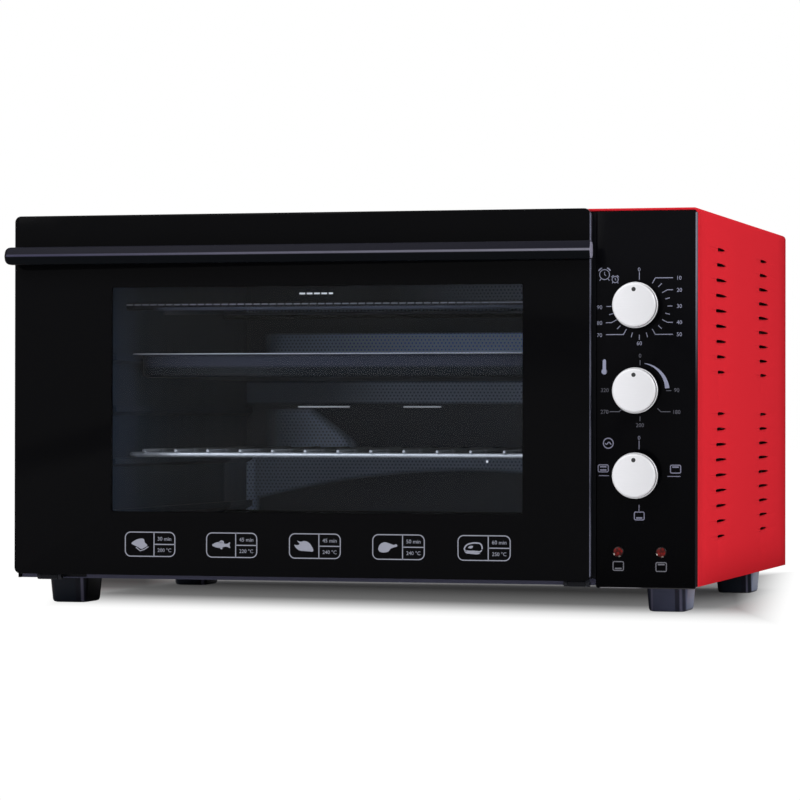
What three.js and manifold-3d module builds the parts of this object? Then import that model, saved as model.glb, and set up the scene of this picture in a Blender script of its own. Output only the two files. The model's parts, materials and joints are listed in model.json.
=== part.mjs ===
// Mini oven: a steel cabinet on four feet, with a drop-down glass door at the left and a control panel with
// three knobs at the right. Millimetres, +Z up, the front faces -Y and +X is the viewer's right.
// The pieces are drawn with x from the middle of the cabinet, y from its front edge and z from the table top.
// The last lines move them so that the origin is below the middle of the whole oven, on the table top.

import * as THREE from 'three';
import { mergeVertices } from 'three/addons/utils/BufferGeometryUtils.js';
import Module from 'manifold-3d';

const wasm = await Module();
wasm.setup();

// Clearances and cutting

const FIT = 0.3;
const OVERRUN = 5;
// Sides of round sections, segments of a rounded corner and steps along a tube
const ROUND = { knob: 28, hole: 16, rod: 10, wire: 8, corner: 3, sensorSteps: 26, harnessSteps: 24 };

// Cabinet

const body = { width: 574, depth: 440, height: 300, sheet: 1, hem: 2, hemDepth: 12, cornerRadius: 4 };
const foot = {
  width: 34, length: 42, height: 22, taper: 1.6, cornerRadius: 5,
  sideInset: 15, frontInset: 32, rearInset: 48,
};
const base = { sheet: 1, lipInset: 3.3, lipHeight: 5.2, flangeHeight: 14 };
const rear = { sheet: 1, inset: 3, slots: 10, slotWidth: 4, slotHeight: 60, slotPitch: 22, slotFloor: 150 };
const frame = { sheet: 1.2, inset: 3.3, bottomRise: 5.5 };
const vents = {
  rows: 9, width: 2.4, upperTop: 29, lowerTop: 163, pitch: 12.5,
  shortest: 34, longest: 52, frontInset: 103, rearInset: 124,
};

// Cavity: its left and right insets are from the door's edges, the others from the cabinet's

const cavity = {
  left: 76, right: 38, floor: 30, ceiling: 35, front: 4.8, rear: 54, sheet: 1, cornerRadius: 8,
};
const ledge = { count: 4, first: 26.5, pitch: 43.1, reach: 6, height: 5, slope: 3, endInset: 4 };
const heater = {
  radius: 3.25, upperDrop: 38.6, lowerRise: 16, front: 57, rearInset: 66, holeGap: 0.4, shank: 12,
  terminal: 8, terminalRadius: 1.6,
};
const sensor = {
  bulbRadius: 3, bulbLength: 80, tubeRadius: 1.2, rearInset: 46, drop: 18, bend: 30, runInset: 20,
};

// Rack and tray

const rack = {
  level: 1, railRadius: 2.25, wireRadius: 1.5, wires: 13, wireMargin: 17.2, front: 50,
  rearInset: 11, sideGap: 0.6, sink: 0.5, overhang: 2,
};
const tray = {
  level: 3, depth: 20, wall: 1, front: 57, rearInset: 14, cornerRadius: 14, sideGap: 0.6, ledgeGap: 1,
};

// Door

const door = { bottomGap: 3.5, backGap: 0.8, rimDepth: 3.5, sheet: 0.8, glass: 4, cornerRadius: 5 };
// The window's insets are from the cavity's mouth
const pane = { left: 10, right: 17, bottom: 24.5, top: 24, cornerRadius: 2, margin: 4 };
const plug = { clearance: 3, depth: 8, seat: 3, paneThickness: 4, lap: 4 };
const seal = { inner: 4, width: 7 };
const handle = {
  overhang: 3.6, drop: 26.5, height: 14.5, depth: 10.5, gap: 7, ridgeShare: 0.55, ridgeWidth: 1.2, bevel: 2,
  endRadius: 6,
};
const post = { radius: 6, inset: 21, drop: 33.7 };
const postScrew = { radius: 2, headRadius: 4, headHeight: 2.4, bite: 6, clearance: 0.6 };

// Door hinges: the pins lie just below the door's lower edge

const hinge = {
  setback: 1.2, drop: 1.7, barrelRadius: 3, pinRadius: 1.4, knuckle: 14, gap: 0.5, lug: 3,
  leftInset: 22, rightInset: 5,
};
const bracket = { sheet: 1.5, length: 42, cheek: 1.2, cheekHeight: 50, clearance: 0.3 };
const arm = {
  radius: 50, width: 9, thickness: 2, fromSeal: 2, slotGap: 1.2, cheekGap: 2,
  footWidth: 10, footDepth: 1.8, footHeight: 26,
};
const glide = { radius: 5, thickness: 4, pinRadius: 1.5, gap: 0.4, angle: 50 };

// Control panel and controls

const panel = { width: 80.7, gap: 3, thickness: 3, below: 2, neckGap: 0.4 };
const control = { inset: 34.8, heights: [222.5, 155, 87.8] };
const knob = {
  radius: 18.2, reach: 22, capRadius: 16.8, capDepth: 5.4, chamfer: 1.2, groove: 2, grooveRadius: 15,
  ringDepth: 2, drumRadius: 16.4, clearance: 1, boreDepth: 15,
  dimple: 1.7, dimpleOffset: 12.3, dimpleDepth: 0.5,
};
const spindle = { radius: 3, flat: 1, insertion: 21 };
const neck = { radius: 4.7, setback: 0.8 };
const timerCase = { width: 44, height: 46, depth: 32 };
const thermostatCase = { width: 36, height: 50, depth: 26 };
const switchCase = { width: 40, height: 40, depth: 30 };
const lamp = {
  radius: 4.6, dome: 1.4, length: 22, spread: 17.3, height: 27, offset: 0.8, clearance: 0.4, tail: 5,
  tailRadius: 2.4, shoulderShare: 0.6, shoulderRiseShare: 0.7,
};
const shield = { sheet: 1, fromPanel: 3, rearInset: 86, top: 12 };

// Mains side, inside the back of the control compartment

const gland = { rightInset: 46, height: 24, radius: 7, bore: 3.6, flange: 10, flangeDepth: 2.4, inside: 8 };
const terminals = { width: 40, length: 24, height: 22, fromGland: 2 };
const harness = { radius: 4, run: 14, bend: 30 };
const rearScrew = {
  radius: 1.8, headRadius: 3.6, headHeight: 1.9, length: 7, inset: 12, rise: 60, clearance: 0.4,
  crownShare: 0.8,
};

// Derived places

const left = -body.width / 2;
const right = body.width / 2;
const under = foot.height;
const top = foot.height + body.height;

const panelBox = {
  x0: right - body.hem - FIT - panel.width,
  x1: right - body.hem - FIT,
  z0: under - panel.below,
  z1: top - body.hem - FIT,
};

const doorBox = {
  x0: left,
  x1: panelBox.x0 - panel.gap,
  z0: under + door.bottomGap,
  z1: top,
  back: -door.backGap,
  rimFront: -door.backGap - door.rimDepth,
  glassBack: -door.backGap - door.rimDepth - FIT,
  front: -door.backGap - door.rimDepth - FIT - door.glass,
};

const cav = {
  x0: doorBox.x0 + cavity.left,
  x1: doorBox.x1 - cavity.right,
  y0: cavity.front,
  y1: body.depth - cavity.rear,
  z0: under + cavity.floor,
  z1: top - cavity.ceiling,
};

const window = {
  x0: cav.x0 + pane.left,
  x1: cav.x1 - pane.right,
  z0: cav.z0 + pane.bottom,
  z1: cav.z1 - pane.top,
};

const axis = { y: -hinge.setback, z: doorBox.z0 - hinge.drop };
const framePlane = frame.inset + frame.sheet;
const caseFront = framePlane + FIT;
const controlX = panelBox.x0 + control.inset;
const lampX = controlX + lamp.offset;
const glandX = right - gland.rightInset;
const rearFace = body.depth - rear.inset;

// Solids

function toSolid(geometry) {
  const plain = geometry.index ? geometry.toNonIndexed() : geometry.clone();
  plain.deleteAttribute('normal');
  plain.deleteAttribute('uv');
  const merged = mergeVertices(plain, 1e-4);
  const corners = merged.index.array;
  const kept = [];
  for (let i = 0; i < corners.length; i += 3) {
    const [a, b, c] = [corners[i], corners[i + 1], corners[i + 2]];
    if (a !== b && b !== c && c !== a) kept.push(a, b, c);
  }
  const vertProperties = new Float32Array(merged.attributes.position.array);
  return new wasm.Manifold(new wasm.Mesh({ numProp: 3, vertProperties, triVerts: new Uint32Array(kept) }));
}

function toGeometry(solid) {
  const mesh = solid.getMesh();
  const geometry = new THREE.BufferGeometry();
  geometry.setAttribute('position', new THREE.BufferAttribute(new Float32Array(mesh.vertProperties), 3));
  geometry.setIndex(new THREE.BufferAttribute(new Uint32Array(mesh.triVerts), 1));
  return geometry;
}

const join = (...parts) => parts.map(toSolid).reduce((whole, part) => whole.add(part));
const cut = (solid, ...tools) => tools.map(toSolid).reduce((rest, tool) => rest.subtract(tool), solid);

function box(x0, x1, y0, y1, z0, z1) {
  const geometry = new THREE.BoxGeometry(x1 - x0, y1 - y0, z1 - z0);
  return geometry.translate((x0 + x1) / 2, (y0 + y1) / 2, (z0 + z1) / 2);
}

const extrude = (shape, depth, curveSegments = ROUND.corner) =>
  new THREE.ExtrudeGeometry(shape, { depth, bevelEnabled: false, curveSegments });

// A plate with its outline in x and z, from y0 to y1
function frontPlate(shape, y0, y1) {
  return extrude(shape, y1 - y0).rotateX(Math.PI / 2).translate(0, y1, 0);
}

// A plate with its outline in y and z, from x0 to x1
function sidePlate(shape, x0, x1) {
  const turn = new THREE.Matrix4().makeBasis(
    new THREE.Vector3(0, 1, 0), new THREE.Vector3(0, 0, 1), new THREE.Vector3(1, 0, 0));
  return extrude(shape, x1 - x0).applyMatrix4(turn).translate(x0, 0, 0);
}

// A plate with its outline in x and y, from z0 to z1
const flatPlate = (shape, z0, z1) => extrude(shape, z1 - z0).translate(0, 0, z0);

function roundedRect(u0, u1, v0, v1, r) {
  const shape = new THREE.Shape();
  shape.moveTo(u0 + r, v0);
  shape.lineTo(u1 - r, v0);
  shape.absarc(u1 - r, v0 + r, r, -Math.PI / 2, 0, false);
  shape.lineTo(u1, v1 - r);
  shape.absarc(u1 - r, v1 - r, r, 0, Math.PI / 2, false);
  shape.lineTo(u0 + r, v1);
  shape.absarc(u0 + r, v1 - r, r, Math.PI / 2, Math.PI, false);
  shape.lineTo(u0, v0 + r);
  shape.absarc(u0 + r, v0 + r, r, Math.PI, Math.PI * 1.5, false);
  return shape;
}

const polygon = (points) => new THREE.Shape(points.map(([u, v]) => new THREE.Vector2(u, v)));

function rodX(r, x0, x1, y, z, sides = ROUND.rod) {
  return new THREE.CylinderGeometry(r, r, x1 - x0, sides).rotateZ(Math.PI / 2).translate((x0 + x1) / 2, y, z);
}

function rodY(r, y0, y1, x, z, sides = ROUND.rod) {
  return new THREE.CylinderGeometry(r, r, y1 - y0, sides).translate(x, (y0 + y1) / 2, z);
}

// A turned piece on an axis along y: the points are [radius, y] with y rising on the outer side
function turned(points, x, z, sides = ROUND.knob) {
  return new THREE.LatheGeometry(points.map(([r, y]) => new THREE.Vector2(r, y)), sides).translate(x, 0, z);
}

// A ring of the given outlines, in x and z
function ringPlate(outer, inner, y0, y1) {
  return cut(toSolid(frontPlate(outer, y0, y1)), frontPlate(inner, y0 - OVERRUN, y1 + OVERRUN));
}

// A round tube along a curve with flat closed ends
function tube(curve, radius, sides, steps) {
  const section = new THREE.Shape();
  for (let i = 0; i < sides; i += 1) {
    const turn = (i / sides) * 2 * Math.PI;
    const point = [radius * Math.cos(turn), radius * Math.sin(turn)];
    if (i === 0) section.moveTo(...point);
    else section.lineTo(...point);
  }
  return new THREE.ExtrudeGeometry(section, { extrudePath: curve, steps, bevelEnabled: false });
}

// Finishes

const finish = (color, roughness, metalness) => () =>
  new THREE.MeshStandardMaterial({ color, roughness, metalness });
const redEnamel = finish(0xc4262f, 0.4, 0.1);
const blackPlastic = finish(0x141417, 0.5, 0);
const blackGloss = finish(0x08080b, 0.12, 0);
const blackSteel = finish(0x1b1b1f, 0.45, 0.4);
const zincSteel = finish(0xa7a9ac, 0.45, 0.9);
const cavitySteel = finish(0x6f7883, 0.4, 0.8);
const darkGlass = finish(0x101218, 0.05, 0);
const clearGlass = finish(0x8c949c, 0.05, 0);
const chrome = finish(0xd9dadc, 0.15, 1);
const satinSilver = finish(0xe2e2e2, 0.35, 0.6);
const heaterSteel = finish(0x3c3a3a, 0.5, 0.8);
const enamel = finish(0x15161a, 0.2, 0.1);
const bakelite = finish(0xd8d4c6, 0.6, 0);
const sealFibre = finish(0x3a3a3c, 0.9, 0);
const redLens = finish(0x8e1a14, 0.2, 0);
const wireSleeve = finish(0xb8b2a4, 0.8, 0);

const oven = new THREE.Group();

function add(name, shape, makeMaterial) {
  const geometry = shape.isBufferGeometry ? shape : toGeometry(shape);
  const mesh = new THREE.Mesh(geometry, makeMaterial());
  mesh.name = name;
  oven.add(mesh);
}

// Cabinet

// The wrapper's cross-section: two sides and the top, rounded at the upper corners
function wrapperOutline(thickness) {
  const outer = body.cornerRadius;
  const inner = Math.max(outer - thickness, thickness / 2);
  const shape = new THREE.Shape();
  shape.moveTo(right - thickness, under);
  shape.lineTo(right, under);
  shape.lineTo(right, top - outer);
  shape.absarc(right - outer, top - outer, outer, 0, Math.PI / 2, false);
  shape.lineTo(left + outer, top);
  shape.absarc(left + outer, top - outer, outer, Math.PI / 2, Math.PI, false);
  shape.lineTo(left, under);
  shape.lineTo(left + thickness, under);
  shape.lineTo(left + thickness, top - thickness - inner);
  shape.absarc(left + thickness + inner, top - thickness - inner, inner, Math.PI, Math.PI / 2, true);
  shape.lineTo(right - thickness - inner, top - thickness);
  shape.absarc(right - thickness - inner, top - thickness - inner, inner, Math.PI / 2, 0, true);
  return shape;
}

// Slot rows of one group: the middle rows are the longest, as in a lens
function ventSlots(wallX) {
  const middle = (vents.rows - 1) / 2;
  const slots = [];
  for (const groupTop of [vents.upperTop, vents.lowerTop]) {
    for (const column of [vents.frontInset, body.depth - vents.rearInset]) {
      for (let row = 0; row < vents.rows; row += 1) {
        const offMiddle = (row - middle) / middle;
        const length = vents.longest - (vents.longest - vents.shortest) * offMiddle ** 2;
        const z = top - groupTop - row * vents.pitch;
        slots.push(box(wallX - body.sheet - OVERRUN / 2, wallX + body.sheet + OVERRUN / 2,
          column - length / 2, column + length / 2, z - vents.width / 2, z + vents.width / 2));
      }
    }
  }
  return slots;
}

function outerShell() {
  const skin = frontPlate(wrapperOutline(body.sheet), 0, body.depth);
  const hem = frontPlate(wrapperOutline(body.hem), 0, body.hemDepth);
  return cut(join(skin, hem), ...ventSlots(left), ...ventSlots(right));
}

function basePan() {
  const inside = right - body.hem - FIT;
  const wide = right - body.sheet - FIT;
  const flangeFront = body.hemDepth + FIT;
  const back = rearFace - rear.sheet - FIT;
  const flange = (x0, x1) => box(x0, x1, flangeFront, back, under, under + base.flangeHeight);
  const pan = join(
    box(-inside, inside, base.lipInset, back, under, under + base.sheet),
    box(-wide, wide, flangeFront, back, under, under + base.sheet),
    box(-inside, inside, base.lipInset, base.lipInset + base.sheet, under, under + base.lipHeight),
    flange(-wide, -wide + base.sheet),
    flange(wide - base.sheet, wide),
  );
  const notches = hinges.map(({ plate0, plate1 }) =>
    box(plate0 - bracket.clearance, plate1 + bracket.clearance,
      -OVERRUN, base.lipInset + base.sheet + FIT, under + base.sheet, top));
  return cut(pan, ...notches);
}

function rearPanel() {
  const wide = right - body.sheet - FIT;
  const bottom = under + FIT;
  const ceiling = top - body.sheet - FIT;
  const corner = Math.max(body.cornerRadius - body.sheet, body.sheet);
  const sheet = frontPlate(roundedRect(-wide, wide, bottom, ceiling, corner), rearFace - rear.sheet, rearFace);
  const row = Array.from({ length: rear.slots }, (_, i) => {
    const x = (i - (rear.slots - 1) / 2) * rear.slotPitch;
    const z = under + rear.slotFloor;
    return box(x - rear.slotWidth / 2, x + rear.slotWidth / 2,
      rearFace - OVERRUN, rearFace + OVERRUN, z, z + rear.slotHeight);
  });
  const glandHole = rodY(gland.radius + FIT, rearFace - OVERRUN, rearFace + OVERRUN,
    glandX, under + gland.height, ROUND.hole);
  const screwHoles = rearScrews.map(([, x, z]) =>
    rodY(rearScrew.radius + rearScrew.clearance, rearFace - OVERRUN, rearFace + OVERRUN, x, z));
  return cut(toSolid(sheet), ...row, glandHole, ...screwHoles);
}

function frontFrame() {
  const inside = right - body.hem - FIT;
  const [bottom, ceiling] = [under + frame.bottomRise, top - body.hem - FIT];
  const outline = roundedRect(-inside, inside, bottom, ceiling, body.cornerRadius);
  const opening = roundedRect(cav.x0, cav.x1, cav.z0, cav.z1, cavity.cornerRadius);
  const sheet = ringPlate(outline, opening, frame.inset, framePlane);
  const through = (r, x, z) => rodY(r, frame.inset - OVERRUN, framePlane + OVERRUN, x, z, ROUND.hole);
  const neckHoles = controls.map(({ z }) => through(neck.radius + panel.neckGap, controlX, z));
  const lampHoles = lamps.map(([, x, z]) => through(lamp.radius + lamp.clearance, x, z));
  const armSlots = hinges.map(({ arm0, arm1 }) => box(arm0 - arm.slotGap, arm1 + arm.slotGap,
    frame.inset - OVERRUN, framePlane + OVERRUN,
    axis.z + arm.radius - arm.slotGap - arm.width / 2, axis.z + arm.radius + arm.width + arm.slotGap));
  return cut(sheet, ...neckHoles, ...lampHoles, ...armSlots);
}

function bodyFoot(x0, y0) {
  const [x1, y1] = [x0 + foot.width, y0 + foot.length];
  const grow = foot.taper;
  const block = roundedRect(x0, x1, y0, y1, foot.cornerRadius);
  const geometry = extrude(block, foot.height - FIT);
  const place = geometry.attributes.position;
  const [cx, cy] = [(x0 + x1) / 2, (y0 + y1) / 2];
  for (let i = 0; i < place.count; i += 1) {
    const share = 1 - place.getZ(i) / (foot.height - FIT);
    place.setX(i, cx + (place.getX(i) - cx) * (1 - (share * grow) / (foot.width / 2)));
    place.setY(i, cy + (place.getY(i) - cy) * (1 - (share * grow) / (foot.length / 2)));
  }
  return geometry;
}

// Door hinges: one record for each side, with the ranges in x of its knuckle, arm, cheek and base plate

function hingeSide(name, knuckle0, sealEdge, side) {
  const knuckle1 = knuckle0 + hinge.knuckle;
  const inner = sealEdge + side * arm.fromSeal;
  const outer = inner + side * arm.thickness;
  const [arm0, arm1] = [Math.min(inner, outer), Math.max(inner, outer)];
  const cheekNear = outer + side * arm.cheekGap;
  const cheekFar = cheekNear + side * bracket.cheek;
  const [cheek0, cheek1] = [Math.min(cheekNear, cheekFar), Math.max(cheekNear, cheekFar)];
  const plate0 = Math.min(knuckle0, cheek0);
  const plate1 = Math.max(knuckle1, cheek1);
  return { name, side, knuckle0, knuckle1, arm0, arm1, cheek0, cheek1, plate0, plate1 };
}

const sealReach = seal.inner + seal.width;
const hinges = [
  hingeSide('left', doorBox.x0 + hinge.leftInset, cav.x0 - sealReach, -1),
  hingeSide('right', doorBox.x1 - hinge.rightInset - hinge.knuckle, cav.x1 + sealReach, 1),
];

// The pin's bracket stands on the base pan, and its barrel reaches forward under the door
function hingeBracket({ knuckle0, knuckle1, cheek0, cheek1, plate0, plate1, side }) {
  const z0 = under + base.sheet + FIT;
  const z1 = z0 + bracket.sheet;
  const plateFront = base.lipInset + base.sheet + FIT;
  const barrel = rodX(hinge.barrelRadius, knuckle0, knuckle1, axis.y, axis.z);
  const bore = rodX(hinge.pinRadius + FIT, knuckle0 - OVERRUN, knuckle1 + OVERRUN, axis.y, axis.z);
  const spot = glideSpot();
  const stubReach = arm.cheekGap + arm.thickness + FIT;
  const [stub0, stub1] = side > 0 ? [cheek0 - stubReach, cheek1] : [cheek0, cheek1 + stubReach];
  const stub = rodX(glide.pinRadius, stub0, stub1, spot.y, spot.z);
  const whole = join(
    box(plate0, plate1, plateFront, plateFront + bracket.length, z0, z1),
    box(knuckle0, knuckle1, axis.y, plateFront + bracket.sheet, z0, z1),
    box(cheek0, cheek1, plateFront, plateFront + bracket.length, z0, z0 + bracket.cheekHeight),
    barrel,
    stub,
  );
  return cut(whole, bore);
}

function glideSpot() {
  const reach = arm.radius - glide.gap - glide.radius;
  const turn = THREE.MathUtils.degToRad(glide.angle);
  return { y: axis.y + reach * Math.cos(turn), z: axis.z + reach * Math.sin(turn) };
}

// The glide is a nylon bush on the cheek's stub, just inside the arm's arc
function hingeGlide({ arm0, arm1 }) {
  const middle = (arm0 + arm1) / 2;
  const [x0, x1] = [middle - glide.thickness / 2, middle + glide.thickness / 2];
  const spot = glideSpot();
  const bush = rodX(glide.radius, x0, x1, spot.y, spot.z, ROUND.knob / 2);
  return cut(toSolid(bush), rodX(glide.pinRadius + FIT, x0 - OVERRUN, x1 + OVERRUN, spot.y, spot.z));
}

// The quadrant arm is a quarter ring about the hinge line, with a foot on the door's back
function hingeArm({ arm0, arm1, side }) {
  const [inner, outer] = [arm.radius, arm.radius + arm.width];
  const start = Math.asin((arm.footDepth / 2 + door.backGap) / outer) + Math.PI / 2;
  const arc = new THREE.Shape();
  arc.absarc(axis.y, axis.z, outer, 0, start, false);
  arc.absarc(axis.y, axis.z, inner, start, 0, true);
  const foot0 = doorBox.back + FIT;
  const trim = box(arm0 - OVERRUN, arm1 + OVERRUN, foot0 - OVERRUN * 2, foot0, axis.z, axis.z + outer + OVERRUN);
  const middle = axis.z + arm.radius + arm.width / 2;
  const footEdge = side > 0 ? arm0 : arm1;
  const footFar = footEdge + side * arm.footWidth;
  const pad = box(Math.min(footEdge, footFar), Math.max(footEdge, footFar), foot0, foot0 + arm.footDepth,
    middle - arm.footHeight / 2, middle + arm.footHeight / 2);
  return cut(toSolid(extrudeRing(arc, arm0, arm1)), trim).add(toSolid(pad));
}

const extrudeRing = (shape, x0, x1) => {
  const turn = new THREE.Matrix4().makeBasis(
    new THREE.Vector3(0, 1, 0), new THREE.Vector3(0, 0, 1), new THREE.Vector3(1, 0, 0));
  return extrude(shape, x1 - x0, ROUND.knob / 2).applyMatrix4(turn).translate(x0, 0, 0);
};

// Door

function doorFrame() {
  const edge = FIT;
  const [x0, x1, z0, z1] = [doorBox.x0 + edge, doorBox.x1 - edge, doorBox.z0 + edge, doorBox.z1 - edge];
  const outline = roundedRect(x0, x1, z0, z1, door.cornerRadius);
  const t = door.sheet;
  const well = roundedRect(x0 + t, x1 - t, z0 + t, z1 - t, door.cornerRadius);
  const view = roundedRect(window.x0 - pane.margin, window.x1 + pane.margin,
    window.z0 - pane.margin, window.z1 + pane.margin, pane.cornerRadius);
  const rimmed = cut(toSolid(frontPlate(outline, doorBox.rimFront, doorBox.back)),
    frontPlate(well, doorBox.rimFront - OVERRUN, doorBox.back - door.sheet),
    frontPlate(view, doorBox.rimFront - OVERRUN, doorBox.back + OVERRUN));
  const lugs = hinges.flatMap(({ knuckle0, knuckle1 }) => [
    hingeLug(knuckle0 - hinge.gap - hinge.lug, knuckle0 - hinge.gap),
    hingeLug(knuckle1 + hinge.gap, knuckle1 + hinge.gap + hinge.lug),
  ]);
  const barrelRoom = hinges.map(({ knuckle0, knuckle1 }) => rodX(hinge.barrelRadius + hinge.gap,
    knuckle0 - hinge.gap, knuckle1 + hinge.gap, axis.y, axis.z));
  const pinHoles = hinges.map(({ knuckle0, knuckle1 }) =>
    rodX(hinge.pinRadius + FIT, knuckle0 - OVERRUN * 2, knuckle1 + OVERRUN * 2, axis.y, axis.z));
  const screwHoles = posts.map(([, x]) => rodY(postScrew.radius + postScrew.clearance,
    doorBox.rimFront - OVERRUN, doorBox.back + OVERRUN, x, postZ));
  return cut(lugs.reduce((whole, lug) => whole.add(lug), rimmed), ...barrelRoom, ...pinHoles, ...screwHoles);
}

// A lug hangs from the door's rim round the hinge pin
function hingeLug(x0, x1) {
  const eye = rodX(hinge.barrelRadius, x0, x1, axis.y, axis.z);
  const web = box(x0, x1, doorBox.rimFront + FIT, doorBox.back, axis.z, doorBox.z0 + door.sheet);
  return join(eye, web);
}

function doorOuterGlass() {
  const outline = roundedRect(doorBox.x0, doorBox.x1, doorBox.z0, doorBox.z1, door.cornerRadius);
  const sheet = frontPlate(outline, doorBox.front, doorBox.glassBack);
  const holes = posts.map(([, x]) => rodY(postScrew.radius + postScrew.clearance,
    doorBox.front - OVERRUN, doorBox.glassBack + OVERRUN, x, postZ));
  return cut(toSolid(sheet), ...holes);
}

const plugBox = {
  x0: cav.x0 + plug.clearance,
  x1: cav.x1 - plug.clearance,
  z0: cav.z0 + plug.clearance,
  z1: cav.z1 - plug.clearance,
};
const innerPane = {
  x0: window.x0 - pane.margin - plug.lap / 2,
  x1: window.x1 + pane.margin + plug.lap / 2,
  z0: window.z0 - pane.margin - plug.lap,
  z1: window.z1 + pane.margin + plug.lap,
};

// The inner frame plugs into the cavity's mouth and holds the inner pane in a rebate
function doorInnerFrame() {
  const y0 = doorBox.back + FIT;
  const corner = cavity.cornerRadius - plug.clearance;
  const outer = roundedRect(plugBox.x0, plugBox.x1, plugBox.z0, plugBox.z1, corner);
  const view = roundedRect(window.x0 - pane.margin, window.x1 + pane.margin,
    window.z0 - pane.margin, window.z1 + pane.margin, pane.cornerRadius);
  const rebate = roundedRect(innerPane.x0 - FIT, innerPane.x1 + FIT, innerPane.z0 - FIT, innerPane.z1 + FIT,
    pane.cornerRadius);
  return cut(toSolid(frontPlate(outer, y0, y0 + plug.depth)),
    frontPlate(view, y0 - OVERRUN, y0 + plug.depth + OVERRUN),
    frontPlate(rebate, y0 + plug.seat, y0 + plug.depth + OVERRUN));
}

function doorInnerGlass() {
  const y0 = doorBox.back + FIT + plug.seat + FIT;
  return frontPlate(roundedRect(innerPane.x0, innerPane.x1, innerPane.z0, innerPane.z1, pane.cornerRadius),
    y0, y0 + plug.paneThickness);
}

function doorSeal() {
  const grown = (by) =>
    roundedRect(cav.x0 - by, cav.x1 + by, cav.z0 - by, cav.z1 + by, cavity.cornerRadius + by);
  return ringPlate(grown(sealReach), grown(seal.inner), doorBox.back + FIT, frame.inset - FIT);
}

// Handle

const handleBox = {
  x0: doorBox.x0 - handle.overhang,
  x1: doorBox.x1 + handle.overhang,
  z0: doorBox.z1 - handle.drop - handle.height,
  z1: doorBox.z1 - handle.drop,
  back: doorBox.front - handle.gap,
  front: doorBox.front - handle.gap - handle.depth,
};
const postZ = doorBox.z1 - post.drop;
const posts = [
  ['left', doorBox.x0 + post.inset],
  ['right', doorBox.x1 - post.inset],
];

// The bar's section has an upper and a lower face that meet at a narrow ridge in front
function doorHandle() {
  const { x0, x1, z0, z1, back, front } = handleBox;
  const ridge = z0 + handle.height * handle.ridgeShare;
  const half = handle.ridgeWidth / 2;
  const section = polygon([
    [back, z0 + handle.bevel], [back, z1 - handle.bevel], [back - handle.bevel, z1],
    [front, ridge + half], [front, ridge - half], [back - handle.bevel, z0],
  ]);
  section.closePath();
  const ends = frontPlate(roundedRect(x0, x1, z0, z1, handle.endRadius), front - OVERRUN, back + OVERRUN);
  const bar = toSolid(sidePlate(reversed(section), x0, x1)).intersect(toSolid(ends));
  const bores = posts.map(([, x]) =>
    rodY(postScrew.radius + FIT, back - postScrew.bite, back + OVERRUN, x, postZ));
  return cut(bar, ...bores);
}

function reversed(shape) {
  return new THREE.Shape(shape.getPoints().reverse());
}

function handlePost(x) {
  const [y0, y1] = [handleBox.back + FIT, doorBox.front - FIT];
  return cut(toSolid(rodY(post.radius, y0, y1, x, postZ, ROUND.knob / 2)),
    rodY(postScrew.radius + FIT, y0 - OVERRUN, y1 + OVERRUN, x, postZ));
}

function handleScrew(x) {
  const seat = doorBox.back + FIT;
  return turned([
    [0, handleBox.back - postScrew.bite + FIT * 2],
    [postScrew.radius, handleBox.back - postScrew.bite + FIT * 2],
    [postScrew.radius, seat],
    [postScrew.headRadius, seat],
    [postScrew.headRadius, seat + postScrew.headHeight],
    [0, seat + postScrew.headHeight],
  ], x, postZ, ROUND.rod);
}

// Cavity

const ledgeTop = (level) => cav.z0 + ledge.first + level * ledge.pitch;

// A side wall's section: the sheet, with its ledges either left out, solid or pressed as hollow ribs
function wallOutline(wallX, inward, ribs) {
  const t = cavity.sheet;
  const at = (offset) => wallX + inward * offset;
  const inner = [[at(0), cav.z0]];
  const outer = [[at(-t), cav.z0]];
  for (let level = 0; ribs !== 'none' && level < ledge.count; level += 1) {
    const z = ledgeTop(level);
    const foot = z - ledge.height - ledge.slope;
    inner.push([at(0), foot], [at(ledge.reach), z - ledge.height], [at(ledge.reach), z], [at(0), z]);
    if (ribs === 'hollow') {
      const inset = ledge.reach - t;
      outer.push([at(-t), foot], [at(inset), z - ledge.height], [at(inset), z - t], [at(-t), z - t]);
    }
  }
  inner.push([at(0), cav.z1]);
  outer.push([at(-t), cav.z1]);
  const loop = [...inner, ...outer.reverse()];
  return polygon(inward > 0 ? loop.reverse() : loop);
}

// A side wall is one pressed sheet: its ledges start behind the door's plug, with closed front ends
function cavityWall(wallX, inward) {
  const ribFront = doorBox.back + FIT + plug.depth + ledge.endInset;
  const ribBack = ribFront + cavity.sheet;
  const wall = join(
    frontPlate(wallOutline(wallX, inward, 'none'), cav.y0, ribBack),
    frontPlate(wallOutline(wallX, inward, 'solid'), ribFront, ribBack),
    frontPlate(wallOutline(wallX, inward, 'hollow'), ribFront, cav.y1),
  );
  const through = (r, y, z) => rodX(r, wallX - OVERRUN, wallX + OVERRUN, y, z);
  const holes = heaterPlaces.map(([, y, z]) => through(heater.radius + heater.holeGap, y, z));
  const bulbHole = through(sensor.bulbRadius + FIT, sensorY, sensorZ);
  return cut(wall, ...holes, ...(inward < 0 ? [bulbHole] : []));
}

const heaterPlaces = [
  ['upper_heater_front', heater.front, cav.z1 - heater.upperDrop],
  ['upper_heater_rear', cav.y1 - heater.rearInset, cav.z1 - heater.upperDrop],
  ['lower_heater_front', heater.front, cav.z0 + heater.lowerRise],
  ['lower_heater_rear', cav.y1 - heater.rearInset, cav.z0 + heater.lowerRise],
];

// A straight heating rod through both side walls, with a thin terminal at each end
function heatingRod(y, z) {
  const out = cavity.sheet + heater.shank;
  const tips = out + heater.terminal;
  return join(
    rodX(heater.radius, cav.x0 - out, cav.x1 + out, y, z),
    rodX(heater.terminalRadius, cav.x0 - tips, cav.x1 + tips, y, z, ROUND.wire),
  );
}

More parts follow.
